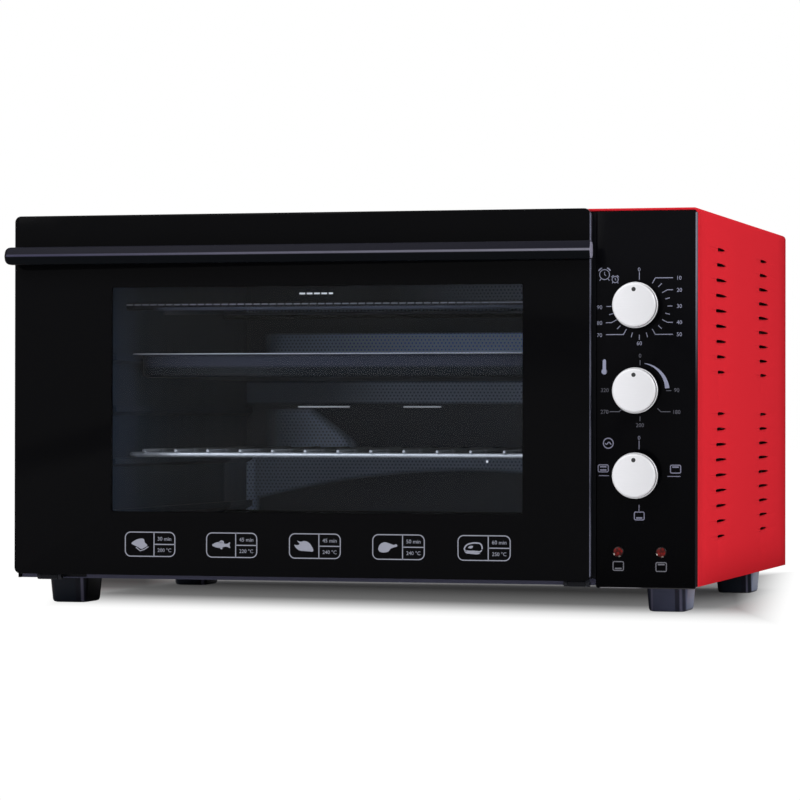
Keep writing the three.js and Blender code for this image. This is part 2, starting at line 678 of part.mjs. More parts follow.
const sensorY = cav.y1 - sensor.rearInset;
const sensorZ = cav.z1 - sensor.drop;

// The thermostat's bulb lies in the cavity, and its thin tube runs back to the thermostat
function thermostatSensor(thermostat) {
  const start = new THREE.Vector3(controlX, caseFront + thermostatCase.depth + FIT, thermostat.z);
  const wall = new THREE.Vector3(cav.x1 + cavity.sheet, sensorY, sensorZ);
  const runX = panelBox.x0 + sensor.runInset;
  const curve = new THREE.CatmullRomCurve3([
    start,
    new THREE.Vector3(start.x, start.y + sensor.bend, start.z),
    new THREE.Vector3(runX, (start.y + wall.y) / 2, (start.z + wall.z) / 2),
    new THREE.Vector3(runX, wall.y - sensor.bend, wall.z),
    new THREE.Vector3(wall.x + sensor.bend / 2, wall.y, wall.z),
    new THREE.Vector3(wall.x - sensor.tubeRadius, wall.y, wall.z),
  ]);
  const bulbEnd = wall.x - cavity.sheet - sensor.bulbLength;
  const bulb = rodX(sensor.bulbRadius, bulbEnd, wall.x + sensor.tubeRadius, wall.y, wall.z);
  return join(tube(curve, sensor.tubeRadius, ROUND.wire, ROUND.sensorSteps), bulb);
}

// Rack and tray

function wireRack() {
  const r = rack.railRadius;
  const z = ledgeTop(rack.level) + FIT + r;
  const [x0, x1] = [cav.x0 + rack.sideGap + r, cav.x1 - rack.sideGap - r];
  const wireZ = z + r + rack.wireRadius - rack.sink;
  const back = cav.y1 - rack.rearInset;
  const rails = [
    rodX(r, x0, x1, rack.front, z), rodX(r, x0, x1, back, z),
    rodY(r, rack.front - r, back + r, x0, z), rodY(r, rack.front - r, back + r, x1, z),
  ];
  const pitch = (cav.x1 - cav.x0 - 2 * rack.wireMargin) / (rack.wires - 1);
  const wires = Array.from({ length: rack.wires }, (_, i) => {
    const x = cav.x0 + rack.wireMargin + i * pitch;
    return rodY(rack.wireRadius, rack.front - rack.overhang, back + rack.overhang, x, wireZ, ROUND.wire);
  });
  return join(...rails, ...wires);
}

// The tray hangs by its rim on two ledges
function bakingTray() {
  const [x0, x1] = [cav.x0 + tray.sideGap, cav.x1 - tray.sideGap];
  const z1 = ledgeTop(tray.level) + FIT + tray.wall;
  const z0 = z1 - tray.depth;
  const rim = ledge.reach - tray.sideGap + tray.ledgeGap;
  const back = cav.y1 - tray.rearInset;
  const outline = (inset, r) => roundedRect(x0 + inset, x1 - inset, tray.front + inset, back - inset, r);
  const solid = join(
    flatPlate(outline(rim, tray.cornerRadius), z0, z1),
    flatPlate(outline(0, tray.cornerRadius), z1 - tray.wall, z1),
  );
  const well = outline(rim + tray.wall, tray.cornerRadius - tray.wall);
  return cut(solid, flatPlate(well, z0 + tray.wall, z1 + OVERRUN));
}

// Controls

const controls = [
  { name: 'timer', z: under + control.heights[0], case: timerCase },
  { name: 'thermostat', z: under + control.heights[1], case: thermostatCase },
  { name: 'function_switch', z: under + control.heights[2], case: switchCase },
];
const lamps = [
  ['lamp_left', lampX - lamp.spread, under + lamp.height],
  ['lamp_right', lampX + lamp.spread, under + lamp.height],
];

function controlPanel() {
  const corner = Math.max(body.cornerRadius - body.hem, panel.thickness / 2);
  const outline = roundedRect(panelBox.x0, panelBox.x1, panelBox.z0, panelBox.z1, corner);
  const through = (r, x, z) => rodY(r, -OVERRUN, panel.thickness + OVERRUN, x, z, ROUND.hole);
  return cut(toSolid(frontPlate(outline, 0, panel.thickness)),
    ...controls.map(({ z }) => through(neck.radius + panel.neckGap, controlX, z)),
    ...lamps.map(([, x, z]) => through(lamp.radius + lamp.clearance, x, z)));
}

// A switch case stands behind the front frame, with a hollow neck through frame and panel
function switchBody({ z, case: size }) {
  const y0 = caseFront;
  const y1 = y0 + size.depth;
  const [halfWidth, halfHeight] = [size.width / 2, size.height / 2];
  const solid = join(
    box(controlX - halfWidth, controlX + halfWidth, y0, y1, z - halfHeight, z + halfHeight),
    rodY(neck.radius, neck.setback, y0 + OVERRUN, controlX, z, ROUND.hole),
  );
  const bore = rodY(spindle.radius + FIT, neck.setback - OVERRUN, spindleEnd + FIT, controlX, z, ROUND.hole);
  return cut(solid, bore);
}

const knobFront = -knob.reach;
const spindleEnd = caseFront + spindle.insertion;

// A round bar with one flat, as its section in x and z
function dSection(x, z, r, flat) {
  const turn = Math.asin((r - flat) / r);
  const shape = new THREE.Shape();
  shape.absarc(x, z, r, turn, Math.PI - turn, true);
  return shape;
}

function controlSpindle({ z }) {
  const shape = dSection(controlX, z, spindle.radius, spindle.flat);
  return extrude(shape, spindleEnd - spindleNose, ROUND.rod).rotateX(Math.PI / 2).translate(0, spindleEnd, 0);
}

const knobBoreEnd = -knob.clearance - knob.boreDepth;
const spindleNose = knobBoreEnd + FIT;

// A turned knob: cap, groove, wider ring and drum, with a blind D bore and a dimple as its pointer
function controlKnob({ z }) {
  const back = -knob.clearance;
  const groove = knobFront + knob.capDepth;
  const ring = groove + knob.groove;
  const drum = ring + knob.ringDepth;
  const solid = toSolid(turned([
    [0, knobFront],
    [knob.capRadius - knob.chamfer, knobFront],
    [knob.capRadius, knobFront + knob.chamfer],
    [knob.capRadius, groove],
    [knob.grooveRadius, groove],
    [knob.grooveRadius, ring],
    [knob.radius, ring],
    [knob.radius, drum],
    [knob.drumRadius, drum],
    [knob.drumRadius, back],
    [0, back],
  ], controlX, z));
  const section = dSection(controlX, z, spindle.radius + FIT, spindle.flat);
  const bore = extrude(section, knob.boreDepth + OVERRUN, ROUND.rod)
    .rotateX(Math.PI / 2).translate(0, back + OVERRUN, 0);
  const dimpleZ = z + knob.dimpleOffset;
  const dimple = rodY(knob.dimple, knobFront - OVERRUN, knobFront + knob.dimpleDepth, controlX, dimpleZ);
  return cut(solid, bore, dimple);
}

function indicatorLamp(x, z) {
  const back = lamp.length;
  return turned([
    [0, -lamp.dome],
    [lamp.radius * lamp.shoulderShare, -lamp.dome * lamp.shoulderRiseShare],
    [lamp.radius, 0],
    [lamp.radius, back],
    [lamp.tailRadius, back],
    [lamp.tailRadius, back + lamp.tail],
    [0, back + lamp.tail],
  ], x, z, ROUND.rod);
}

// A plate that keeps the cavity's heat from the controls
function heatShield() {
  const x1 = panelBox.x0 - shield.fromPanel;
  const z0 = under + base.sheet + FIT;
  return box(x1 - shield.sheet, x1, caseFront, cav.y1 - shield.rearInset, z0, top - shield.top);
}

// Mains side

function cordGland() {
  const [z, face] = [under + gland.height, rearFace];
  return turned([
    [gland.bore, face - gland.inside],
    [gland.radius, face - gland.inside],
    [gland.radius, face + FIT],
    [gland.flange, face + FIT],
    [gland.flange, face + FIT + gland.flangeDepth],
    [gland.bore, face + FIT + gland.flangeDepth],
    [gland.bore, face - gland.inside],
  ], glandX, z, ROUND.hole);
}

const terminalBox = {
  x0: glandX - terminals.width / 2,
  x1: glandX + terminals.width / 2,
  y1: rearFace - gland.inside - terminals.fromGland,
  z0: under + base.sheet + FIT,
};
terminalBox.y0 = terminalBox.y1 - terminals.length;

function terminalBlock() {
  const { x0, x1, y0, y1, z0 } = terminalBox;
  return box(x0, x1, y0, y1, z0, z0 + terminals.height);
}

// The loom runs along the base from the terminal block and up to the back of the function switch
function wiringHarness(functionSwitch) {
  const start = new THREE.Vector3(glandX, terminalBox.y0 - FIT, terminalBox.z0 + terminals.height / 2);
  const end = new THREE.Vector3(controlX, caseFront + functionSwitch.case.depth + FIT, functionSwitch.z);
  const low = start.z;
  const curve = new THREE.CatmullRomCurve3([
    start,
    new THREE.Vector3(start.x, start.y - harness.run, low),
    new THREE.Vector3(start.x, (start.y + end.y) / 2, low),
    new THREE.Vector3(end.x, end.y + harness.bend * 2, low + harness.run),
    new THREE.Vector3(end.x, end.y + harness.bend, end.z),
    end,
  ]);
  return tube(curve, harness.radius, ROUND.wire, ROUND.harnessSteps);
}

const rearScrews = [
  ['rear_screw_lower_left', left + rearScrew.inset, under + rearScrew.rise],
  ['rear_screw_lower_right', right - rearScrew.inset, under + rearScrew.rise],
  ['rear_screw_upper_left', left + rearScrew.inset, top - rearScrew.rise],
  ['rear_screw_upper_right', right - rearScrew.inset, top - rearScrew.rise],
];

function panelScrew(x, z) {
  const seat = rearFace + FIT;
  return turned([
    [0, seat - rearScrew.length],
    [rearScrew.radius, seat - rearScrew.length],
    [rearScrew.radius, seat],
    [rearScrew.headRadius, seat],
    [rearScrew.headRadius * rearScrew.crownShare, rearFace + rearScrew.headHeight],
    [0, rearFace + rearScrew.headHeight],
  ], x, z, ROUND.rod);
}

// Assembly

add('outer_shell', outerShell(), redEnamel);
add('base_pan', basePan(), blackSteel);
add('rear_panel', rearPanel(), zincSteel);
add('front_frame', frontFrame(), blackSteel);

const footFront = foot.frontInset;
const footRear = body.depth - foot.rearInset - foot.length;
const footLeft = left + foot.sideInset;
const footRight = right - foot.sideInset - foot.width;
add('foot_front_left', bodyFoot(footLeft, footFront), blackPlastic);
add('foot_front_right', bodyFoot(footRight, footFront), blackPlastic);
add('foot_rear_left', bodyFoot(footLeft, footRear), blackPlastic);
add('foot_rear_right', bodyFoot(footRight, footRear), blackPlastic);

add('cavity_left_wall', cavityWall(cav.x0, 1), cavitySteel);
add('cavity_right_wall', cavityWall(cav.x1, -1), cavitySteel);
const skinX = [cav.x0 - cavity.sheet, cav.x1 + cavity.sheet];
const skinZ = [cav.z0 - FIT - cavity.sheet, cav.z1 + FIT + cavity.sheet];
add('cavity_floor', box(...skinX, cav.y0, cav.y1, skinZ[0], cav.z0 - FIT), cavitySteel);
add('cavity_ceiling', box(...skinX, cav.y0, cav.y1, cav.z1 + FIT, skinZ[1]), cavitySteel);
add('cavity_back', box(...skinX, cav.y1 + FIT, cav.y1 + FIT + cavity.sheet, ...skinZ), cavitySteel);

for (const [name, y, z] of heaterPlaces) add(name, heatingRod(y, z), heaterSteel);
add('thermostat_sensor', thermostatSensor(controls[1]), zincSteel);
add('heat_shield', heatShield(), zincSteel);

add('wire_rack', wireRack(), chrome);
add('baking_tray', bakingTray(), enamel);

add('door_outer_glass', doorOuterGlass(), darkGlass);
add('door_frame', doorFrame(), blackSteel);
add('door_inner_frame', doorInnerFrame(), blackSteel);
add('door_inner_glass', doorInnerGlass(), clearGlass);
add('door_seal', doorSeal(), sealFibre);
add('door_handle', doorHandle(), blackGloss);
for (const [side, x] of posts) {
  add(`handle_post_${side}`, handlePost(x), blackPlastic);
  add(`handle_screw_${side}`, handleScrew(x), zincSteel);
}

for (const side of hinges) {
  add(`hinge_bracket_${side.name}`, hingeBracket(side), blackSteel);
  add(`hinge_pin_${side.name}`, rodX(hinge.pinRadius, side.knuckle0 - hinge.gap - hinge.lug,
    side.knuckle1 + hinge.gap + hinge.lug, axis.y, axis.z), zincSteel);
  add(`hinge_arm_${side.name}`, hingeArm(side), zincSteel);
  add(`hinge_glide_${side.name}`, hingeGlide(side), blackPlastic);
}

add('control_panel', controlPanel(), blackGloss);
for (const one of controls) {
  add(`${one.name}_body`, switchBody(one), bakelite);
  add(`${one.name}_spindle`, controlSpindle(one), zincSteel);
  add(`${one.name}_knob`, controlKnob(one), satinSilver);
}
for (const [name, x, z] of lamps) add(name, indicatorLamp(x, z), redLens);

add('cord_gland', cordGland(), blackPlastic);
add('terminal_block', terminalBlock(), bakelite);
add('wiring_harness', wiringHarness(controls[2]), wireSleeve);
for (const [name, x, z] of rearScrews) add(name, panelScrew(x, z), zincSteel);

// The whole oven, with its origin on the table top below the middle of its outline

const frontmost = Math.min(handleBox.front, knobFront);
const leftmost = Math.min(handleBox.x0, left);
oven.position.set(-(leftmost + right) / 2, -(frontmost + body.depth) / 2, 0);

export default oven;
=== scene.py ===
"""Dresses the mini oven: enamel, glass, print, steel and the things behind the window, in metres."""

import json
import math
from functools import cached_property

import bmesh
import bpy
import numpy as np
from bpy.props import FloatProperty, FloatVectorProperty, IntProperty, PointerProperty
from mathutils import Matrix, Vector

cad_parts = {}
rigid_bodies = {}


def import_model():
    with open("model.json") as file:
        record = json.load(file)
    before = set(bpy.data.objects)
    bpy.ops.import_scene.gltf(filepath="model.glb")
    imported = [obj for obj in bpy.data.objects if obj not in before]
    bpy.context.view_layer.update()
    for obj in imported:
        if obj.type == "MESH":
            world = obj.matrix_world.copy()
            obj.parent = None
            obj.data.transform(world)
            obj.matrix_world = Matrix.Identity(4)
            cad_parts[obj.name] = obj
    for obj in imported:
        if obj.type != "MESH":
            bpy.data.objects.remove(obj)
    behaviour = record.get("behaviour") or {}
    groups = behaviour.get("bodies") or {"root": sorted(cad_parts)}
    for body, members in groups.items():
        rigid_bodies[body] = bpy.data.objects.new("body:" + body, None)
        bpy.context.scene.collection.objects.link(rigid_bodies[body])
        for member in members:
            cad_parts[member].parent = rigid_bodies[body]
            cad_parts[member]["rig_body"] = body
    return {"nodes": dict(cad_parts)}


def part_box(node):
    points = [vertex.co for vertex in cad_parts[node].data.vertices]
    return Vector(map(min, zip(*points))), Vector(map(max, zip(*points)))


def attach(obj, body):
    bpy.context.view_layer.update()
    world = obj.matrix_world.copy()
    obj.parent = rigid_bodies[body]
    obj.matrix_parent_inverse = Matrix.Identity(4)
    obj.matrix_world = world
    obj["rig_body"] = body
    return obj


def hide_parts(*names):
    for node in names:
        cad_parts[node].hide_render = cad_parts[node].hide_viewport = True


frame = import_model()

bl_info = {
    "name": "Mini oven dressing",
    "version": (1, 0, 0),
    "blender": (4, 5, 0),
    "location": "3D View > Sidebar > Oven",
    "description": "Makes the oven's visible pieces and gives every sheet, pane and knob its finish",
    "category": "Object",
}

MM = 0.001
FULL_TURN = 2 * math.pi
# x and z of a corner
FLAT = [0, 2]
# For each axis: the two axes of the plane across it, then the axis itself
PLANES = {"y": (0, 2, 1), "z": (0, 1, 2), "x": (1, 2, 0)}
# Radius of the tray's corners in millimetres
TRAY_CORNER = 14


def linear(red, green, blue):
    """A colour as a paint chart gives it, 0 to 255, in linear light."""
    shares = [value / 255 for value in (red, green, blue)]
    return tuple(s / 12.92 if s < 0.04045 else ((s + 0.055) / 1.055) ** 2.4 for s in shares)


def darker(colour, share):
    return tuple(value * share for value in colour)


def box_of(node):
    """The lowest and highest corner of a frame node, as arrays in metres."""
    return np.array([tuple(corner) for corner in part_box(node)])


def centre_of(node):
    return box_of(node).sum(0) / 2


# Places read from the frame

shell_low, shell_high = box_of("outer_shell")
door_low, door_high = box_of("door_outer_glass")
pane_low, pane_high = box_of("door_inner_glass")
handle_low, handle_high = box_of("door_handle")
panel_low, panel_high = box_of("control_panel")
ridge = centre_of("door_handle")[2]


# Settings that a user would change


def colour(name, description, default):
    return FloatVectorProperty(
        name=name, description=description, subtype="COLOR", min=0, max=1, default=default)


def length(name, description, millimetres):
    return FloatProperty(name=name, description=description, default=millimetres * MM, unit="LENGTH")


class CabinetSettings(bpy.types.PropertyGroup):
    enamel: colour("Enamel", "Colour of the painted wrapper", linear(206, 40, 50))
    sheet: length("Sheet", "Thickness of the wrapper", 1)
    hem: length("Hem", "Thickness of the folded front edge", 2)
    hem_depth: length("Hem depth", "How far the fold reaches back", 12)
    corner: length("Corner", "Radius of the long upper edges", 4)
    slot_height: length("Slot height", "Widest opening of a louvre", 2.4)
    slot_press: length("Slot press", "How far a louvre's lower lip is pressed in", 1.6)
    slot_pitch: length("Slot pitch", "Distance between louvres", 12.5)
    slot_rows: IntProperty(name="Slot rows", description="Louvres in one group", default=9)


class DoorSettings(bpy.types.PropertyGroup):
    black: colour("Back print", "Colour printed behind the glass", linear(9, 9, 11))
    print_ink: colour("Print", "Colour of the small signs", linear(150, 152, 166))
    tint: colour("Window tint", "Colour that one face of the window lets through", (0.93, 0.94, 0.955))
    edge: length("Ground edge", "Bevel round the panes", 0.5)


class ControlSettings(bpy.types.PropertyGroup):
    silver: colour("Knob", "Colour of the brushed caps", linear(227, 227, 231))
    lens: colour("Lens", "Colour of the unlit lamps", linear(120, 22, 18))
    ink: colour("Dial print", "Colour of the dials", linear(142, 144, 166))
    letter: length("Numbers", "Height of the dials' numbers", 3.1)
    stroke: length("Stroke", "Width of the dials' lines", 0.62)


class CavitySettings(bpy.types.PropertyGroup):
    steel: colour("Cavity", "Colour of the cavity's back", linear(128, 136, 152))
    dot_pitch: length("Dot pitch", "Spacing of the embossed dots", 3.5)
    rack_wires: IntProperty(name="Rack wires", description="Cross wires of the rack", default=13)


class StageSettings(bpy.types.PropertyGroup):
    floor: colour("Floor", "Colour of the floor", (0.9, 0.9, 0.9))
    ambient: FloatProperty(name="Ambient", description="Light from all round", default=0.5, min=0)
    key: FloatProperty(name="Key", description="Power of the large lamp in front", default=38.0, min=0)


class OvenSettings(bpy.types.PropertyGroup):
    cabinet: PointerProperty(type=CabinetSettings)
    door: PointerProperty(type=DoorSettings)
    controls: PointerProperty(type=ControlSettings)
    cavity: PointerProperty(type=CavitySettings)
    stage: PointerProperty(type=StageSettings)


# Surfaces


def grid(points, wrap_rows=False, wrap_columns=True, cut_rows=(), lids=()):
    """Quads between neighbours of a (rows, columns, 3) array; each row named in lids is closed by a face."""
    rows, columns = points.shape[:2]
    index = np.arange(rows * columns).reshape(rows, columns)
    down, across = np.roll(index, -1, 0), np.roll(index, -1, 1)
    quads = np.stack([index, down, np.roll(down, -1, 1), across], axis=-1)
    if not wrap_rows:
        quads = quads[:-1]
    if not wrap_columns:
        quads = quads[:, :-1]
    quads = np.delete(quads, list(cut_rows), axis=0)
    return points.reshape(-1, 3), quads.reshape(-1, 4).tolist() + index[list(lids)].tolist()


def joined(parts):
    """Several (points, faces) parts as one part."""
    starts = np.cumsum([0] + [len(points) for points, _ in parts])
    faces = [[corner + start for corner in face] for (_, own), start in zip(parts, starts) for face in own]
    return np.concatenate([points for points, _ in parts]), faces


def part_of(mesh):
    """A mesh as (points, faces)."""
    points = np.zeros(len(mesh.vertices) * 3)
    mesh.vertices.foreach_get("co", points)
    return points.reshape(-1, 3), [list(face.vertices) for face in mesh.polygons]


def new_object(name, data):
    made = bpy.data.objects.new(name, data)
    bpy.context.scene.collection.objects.link(made)
    return made


def new_piece(name, part, body, finish, replaces="", crease=35, merge=1e-6, mend=True):
    """A piece of the given (points, faces), smooth up to the crease angle, that rides on a body.

    Doubles are merged. Mend turns every face outwards, or makes flat faces whole where it is "flat".
    """
    points, faces = part
    mesh = bpy.data.meshes.new(name)
    mesh.from_pydata(points.tolist(), [], faces)
    shape = bmesh.new()
    shape.from_mesh(mesh)
    bmesh.ops.remove_doubles(shape, verts=shape.verts, dist=merge)
    if mend == "flat":
        bmesh.ops.dissolve_limit(shape, angle_limit=math.radians(1), verts=shape.verts, edges=shape.edges)
    elif mend:
        bmesh.ops.recalc_face_normals(shape, faces=shape.faces)
    shape.to_mesh(mesh)
    shape.free()
    mesh.shade_smooth()
    mesh.set_sharp_from_angle(angle=math.radians(crease))
    mesh.materials.append(finishes()[finish])
    piece = new_object(name, mesh)
    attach(piece, body)
    if replaces:
        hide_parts(replaces)
    return piece


def softened(node, name, finish, width):
    """A copy of a frame node with its flat faces made whole and its edges rounded."""
    source = frame["nodes"][node]
    piece = new_piece(name, part_of(source.data), source["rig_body"], finish, node, 40, 1e-5, "flat")
    bevel = piece.modifiers.new("rounded edges", "BEVEL")
    bevel.width = width * MM
    bevel.segments = 2
    bevel.limit_method = "ANGLE"
    bevel.angle_limit = math.radians(40)
    bevel.harden_normals = True


def arc(centre, radius, start, end, steps):
    """Points of a circular arc in a plane, start and end in degrees."""
    turn = np.radians(np.linspace(start, end, steps + 1))
    return np.stack([centre[0] + radius * np.cos(turn), centre[1] + radius * np.sin(turn)], axis=1)


def rounded_rectangle(low, high, radius, steps=6):
    """The outline of a rectangle with round corners, as four arcs."""
    (left, bottom), (right, top) = np.array(low) + radius, np.array(high) - radius
    corners = ((right, bottom, -90), (right, top, 0), (left, top, 90), (left, bottom, 180))
    return np.concatenate([arc((u, v), radius, start, start + 90, steps) for u, v, start in corners])


def filleted(corners, radii, steps=4):
    """A polygon whose corners are rounded: each becomes the parabola through its two tangent points."""
    corners = np.array(corners, float)
    reach = np.array(radii, float)[:, None]
    ways = [np.roll(corners, shift, 0) - corners for shift in (1, -1)]
    first, last = [corners + way / np.linalg.norm(way, axis=1, keepdims=True) * reach for way in ways]
    t = np.linspace(0, 1, steps + 1)[None, :, None]
    curve = first[:, None] * (1 - t) ** 2 + corners[:, None] * 2 * t * (1 - t) + last[:, None] * t**2
    return curve.reshape(-1, 2)


def stacked(rings, axis):
    """Rings of equal count as a grid: each is (outline in the plane across the axis, place on it)."""
    u, v, w = PLANES[axis]
    points = np.zeros((len(rings), len(rings[0][0]), 3))
    points[..., [u, v]] = [outline for outline, _ in rings]
    points[..., w] = [[place] for _, place in rings]
    return points


def layered(rings, axis):
    """A closed body from rings that are stacked along the axis."""
    return grid(stacked(rings, axis), lids=(0, -1))


def inset_rings(low, high, radius, steps, levels):
    """Rings of one rounded outline, each at its (inset, height) above the outline's plane."""
    return [(rounded_rectangle(low[:2] + inset, high[:2] - inset, radius, steps), z) for inset, z in levels]


def plate(low, high, radius, edge):
    """A plate between two corners, its outline round at the corners, its rims quarter circles."""
    turns = np.radians(np.linspace(0, 90, 4))
    insets, depths = edge * (1 - np.sin(turns)), edge * (1 - np.cos(turns))
    rings = [*zip(insets, low[1] + depths), *zip(insets[::-1], high[1] - depths[::-1])]
    return layered([(rounded_rectangle(low[FLAT] + i, high[FLAT] - i, max(radius - i, 1e-5)), place)
                    for i, place in rings], "y")


def lathe(profile, centre, axis="y", sides=96):
    """A turned body: rows of (radius, place on the axis), turned about a centre in the plane across it."""
    profile = np.array(profile, float)
    turn = np.linspace(0, FULL_TURN, sides, endpoint=False)
    u, v, w = PLANES[axis]
    points = np.zeros((len(profile), sides, 3))
    points[..., u] = centre[0] + profile[:, :1] * np.cos(turn)
    points[..., v] = centre[1] + profile[:, :1] * np.sin(turn)
    points[..., w] = profile[:, 1:]
    return grid(points)


def level_loop(path, radius, sides=16):
    """A round bar along a level closed path: circles in the plane across it."""
    ahead = np.roll(path, -1, 0) - np.roll(path, 1, 0)
    ahead /= np.linalg.norm(ahead, axis=1, keepdims=True)
    side = np.cross(ahead, (0, 0, 1))
    up = np.cross(side, ahead)
    turn = np.linspace(0, FULL_TURN, sides, endpoint=False)[None, :, None]
    return grid(path[:, None] + radius * (side[:, None] * np.cos(turn) + up[:, None] * np.sin(turn)),
                wrap_rows=True)


class Print:
    """Thin slabs of ink on a surface, drawn in x and z in millimetres."""

    THICK = 0.04

    def start(self, surface, width, letter):
        """Begins a print with the usual width of its lines and height of its letters."""
        self.depths = np.array((surface / MM - self.THICK, surface / MM))
        self.width, self.letter = width, letter
        self.parts = []

    def fill(self, origin, outline):
        """A filled outline as a thin body whose visible face lies in front."""
        outline = np.array(outline) + origin
        self.parts.append(layered([(outline, depth) for depth in self.depths], "y"))

    def line(self, origin, points, width=None, closed=False):
        """A line of even width: each point is moved half the width along its mitred normal, to both sides."""
        points = np.array(points, float) + origin
        step = np.roll(points, -1, 0) - points
        step /= np.maximum(np.linalg.norm(step, axis=1, keepdims=True), 1e-9)
        normal = np.stack([-step[:, 1], step[:, 0]], axis=1)
        before = np.roll(normal, 1, 0)
        if not closed:
            normal[-1] = normal[-2]
            before[0] = normal[0]
        mitre = normal + before
        mitre /= np.maximum((mitre * mitre).sum(1, keepdims=True) / 2, 0.5)
        mitre *= (width or self.width) / 2
        left, right = points + mitre, points - mitre
        rows = np.zeros((len(points), 4, 3))
        rows[..., FLAT] = np.stack([left, right, right, left], axis=1)
        rows[..., 1] = np.repeat(self.depths, 2)
        self.parts.append(grid(rows, wrap_rows=closed, lids=() if closed else (0, -1)))

    def word(self, origin, words, x, z):
        """Words as thin slabs: the letters are a mesh before they are moved to their place."""
        curve = bpy.data.curves.new("words", "FONT")
        curve.body = words
        curve.align_x = "CENTER"
        curve.align_y = "CENTER"
        curve.resolution_u = 3
        curve.extrude = 0.01
        holder = new_object("words", curve)
        graph = bpy.context.evaluated_depsgraph_get()
        mesh = bpy.data.meshes.new_from_object(holder.evaluated_get(graph))
        points, faces = part_of(mesh)
        bpy.data.objects.remove(holder)
        bpy.data.curves.remove(curve)
        bpy.data.meshes.remove(mesh)
        middle = (points.min(0) + points.max(0)) / 2
        placed = (points - middle) * self.letter / np.ptp(points[:, 1])
        placed = placed[:, [0, 2, 1]]
        placed[:, FLAT] += np.array(origin) + (x, z)
        placed[:, 1] = self.depths[np.where(points[:, 2] > 0, 0, 1)]
        self.parts.append((placed, faces))

    def printed(self, name, body, finish, slot):
        """Everything drawn so far as one piece."""
        points, faces = joined(self.parts)
        new_piece(name, (points * MM, faces), body, finish)


# Shader sums


def maths(operation, swapped=False):
    """A method of Wire that adds a Math node."""
    def method(self, *others):
        values = (*others, self) if swapped else (self, *others)
        return self.recipe.node("ShaderNodeMath", {"operation": operation}, dict(enumerate(values)))

    return method


class Wire:
    """A socket's value in a node tree; sums and products of wires add Math nodes."""

    def __init__(self, recipe, socket):
        self.recipe = recipe
        self.socket = socket

    __add__ = maths("ADD")
    __sub__ = maths("SUBTRACT")
    __rsub__ = maths("SUBTRACT", swapped=True)
    __mul__ = maths("MULTIPLY")
    __pow__ = maths("POWER")
    __abs__ = maths("ABSOLUTE")
    __lt__ = maths("LESS_THAN")
    smaller = maths("MINIMUM")
    larger_one = maths("MAXIMUM")
    fold = maths("PINGPONG")
    sine = maths("SINE")

    def larger(self, *others):
        """The largest of this wire and the others."""
        largest = self
        for other in others:
            largest = largest.larger_one(other)
        return largest

    def to_nearest(self, pitch):
        """Distance to the nearest whole multiple of the pitch."""
        return self.fold(pitch / 2)

    def near(self, middle, half):
        """1 where the wire is within half of the middle, both in millimetres."""
        return abs(self - middle * MM) < half * MM

    def ramp(self, low, high, out_low=0.0, out_high=1.0, smooth=False):
        """Runs from out_low to out_high while the wire runs from low to high."""
        kind = "SMOOTHSTEP" if smooth else "LINEAR"
        return self.recipe.node("ShaderNodeMapRange", {"interpolation_type": kind, "clamp": True},
                                {0: self, 1: low, 2: high, 3: out_low, 4: out_high})

    def rise(self, low, high, start=0.0, smooth=False):
        """0 to 1 between two places, in millimetres from a start in metres."""
        return self.ramp(start + low * MM, start + high * MM, smooth=smooth)

    def fall(self, low, high, smooth=False):
        """1 to 0 between two places in millimetres."""
        return self.ramp(low * MM, high * MM, 1.0, 0.0, smooth)


class Recipe:
    """The node tree of a material or world, built one node at a time."""

    def __init__(self, owner):
        owner.use_nodes = True
        self.tree = owner.node_tree
        self.tree.nodes.clear()

    def node(self, kind, settings=None, sockets=None, output=0):
        """Adds a node: its settings are set first, then the values or links of its sockets."""
        made = self.tree.nodes.new(kind)
        for name, value in (settings or {}).items():
            setattr(made, name, value)
        for name, value in (sockets or {}).items():
            socket = made.inputs[name]
            if isinstance(value, Wire):
                self.tree.links.new(value.socket, socket)
            else:
                socket.default_value = (*value, 1) if socket.type == "RGBA" else value
        return Wire(self, made.outputs[output]) if made.outputs else None

    @cached_property
    def place(self):
        return self.node("ShaderNodeTexCoord", output="Object")

    @cached_property
    def axes(self):
        """The place's x, y and z."""
        split = self.node("ShaderNodeSeparateXYZ", sockets={0: self.place})
        return [Wire(self, socket) for socket in split.socket.node.outputs]

    def noise(self, scale, detail=2.0, roughness=0.5, stretch=None):
        vector = self.place
        if stretch:
            vector = self.node("ShaderNodeMapping", sockets={"Vector": vector, "Scale": stretch})
        return self.node("ShaderNodeTexNoise", sockets={
            "Vector": vector, "Scale": scale, "Detail": detail, "Roughness": roughness})

    def mixed(self, share, first, second):
        return self.node("ShaderNodeMix", {"data_type": "RGBA"}, {0: share, 6: first, 7: second}, output=2)

    def coats(self, base, *coats):
        """Colours laid over a base: each coat is (share, colour) or (share, red, green, blue) of a chart."""
        for share, *coat in coats:
            base = self.mixed(share, base, linear(*coat) if len(coat) == 3 else coat[0])
        return base

    def shader(self, base, roughness, level, bump=None, **sockets):
        """A Principled surface; level is its mirror face on, bump is (height, strength, millimetres)."""
        named = {name.replace("_", " "): value for name, value in sockets.items()}
        if bump:
            height, strength, millimetres = bump
            named["Normal"] = self.node("ShaderNodeBump", sockets={
                "Height": height, "Strength": strength, "Distance": millimetres * MM})
        return self.node("ShaderNodeBsdfPrincipled", sockets={
            "Base Color": base, "Roughness": roughness, "Specular IOR Level": level, **named})

    def diffuse(self, base):
        return self.node("ShaderNodeBsdfDiffuse", sockets={"Color": base})

    def blend(self, share, first, second):
        return self.node("ShaderNodeMixShader", sockets={0: share, 1: first, 2: second})


def distance(a, b):
    """The diagonal of two sides."""
    return (a * a + b * b) ** 0.5


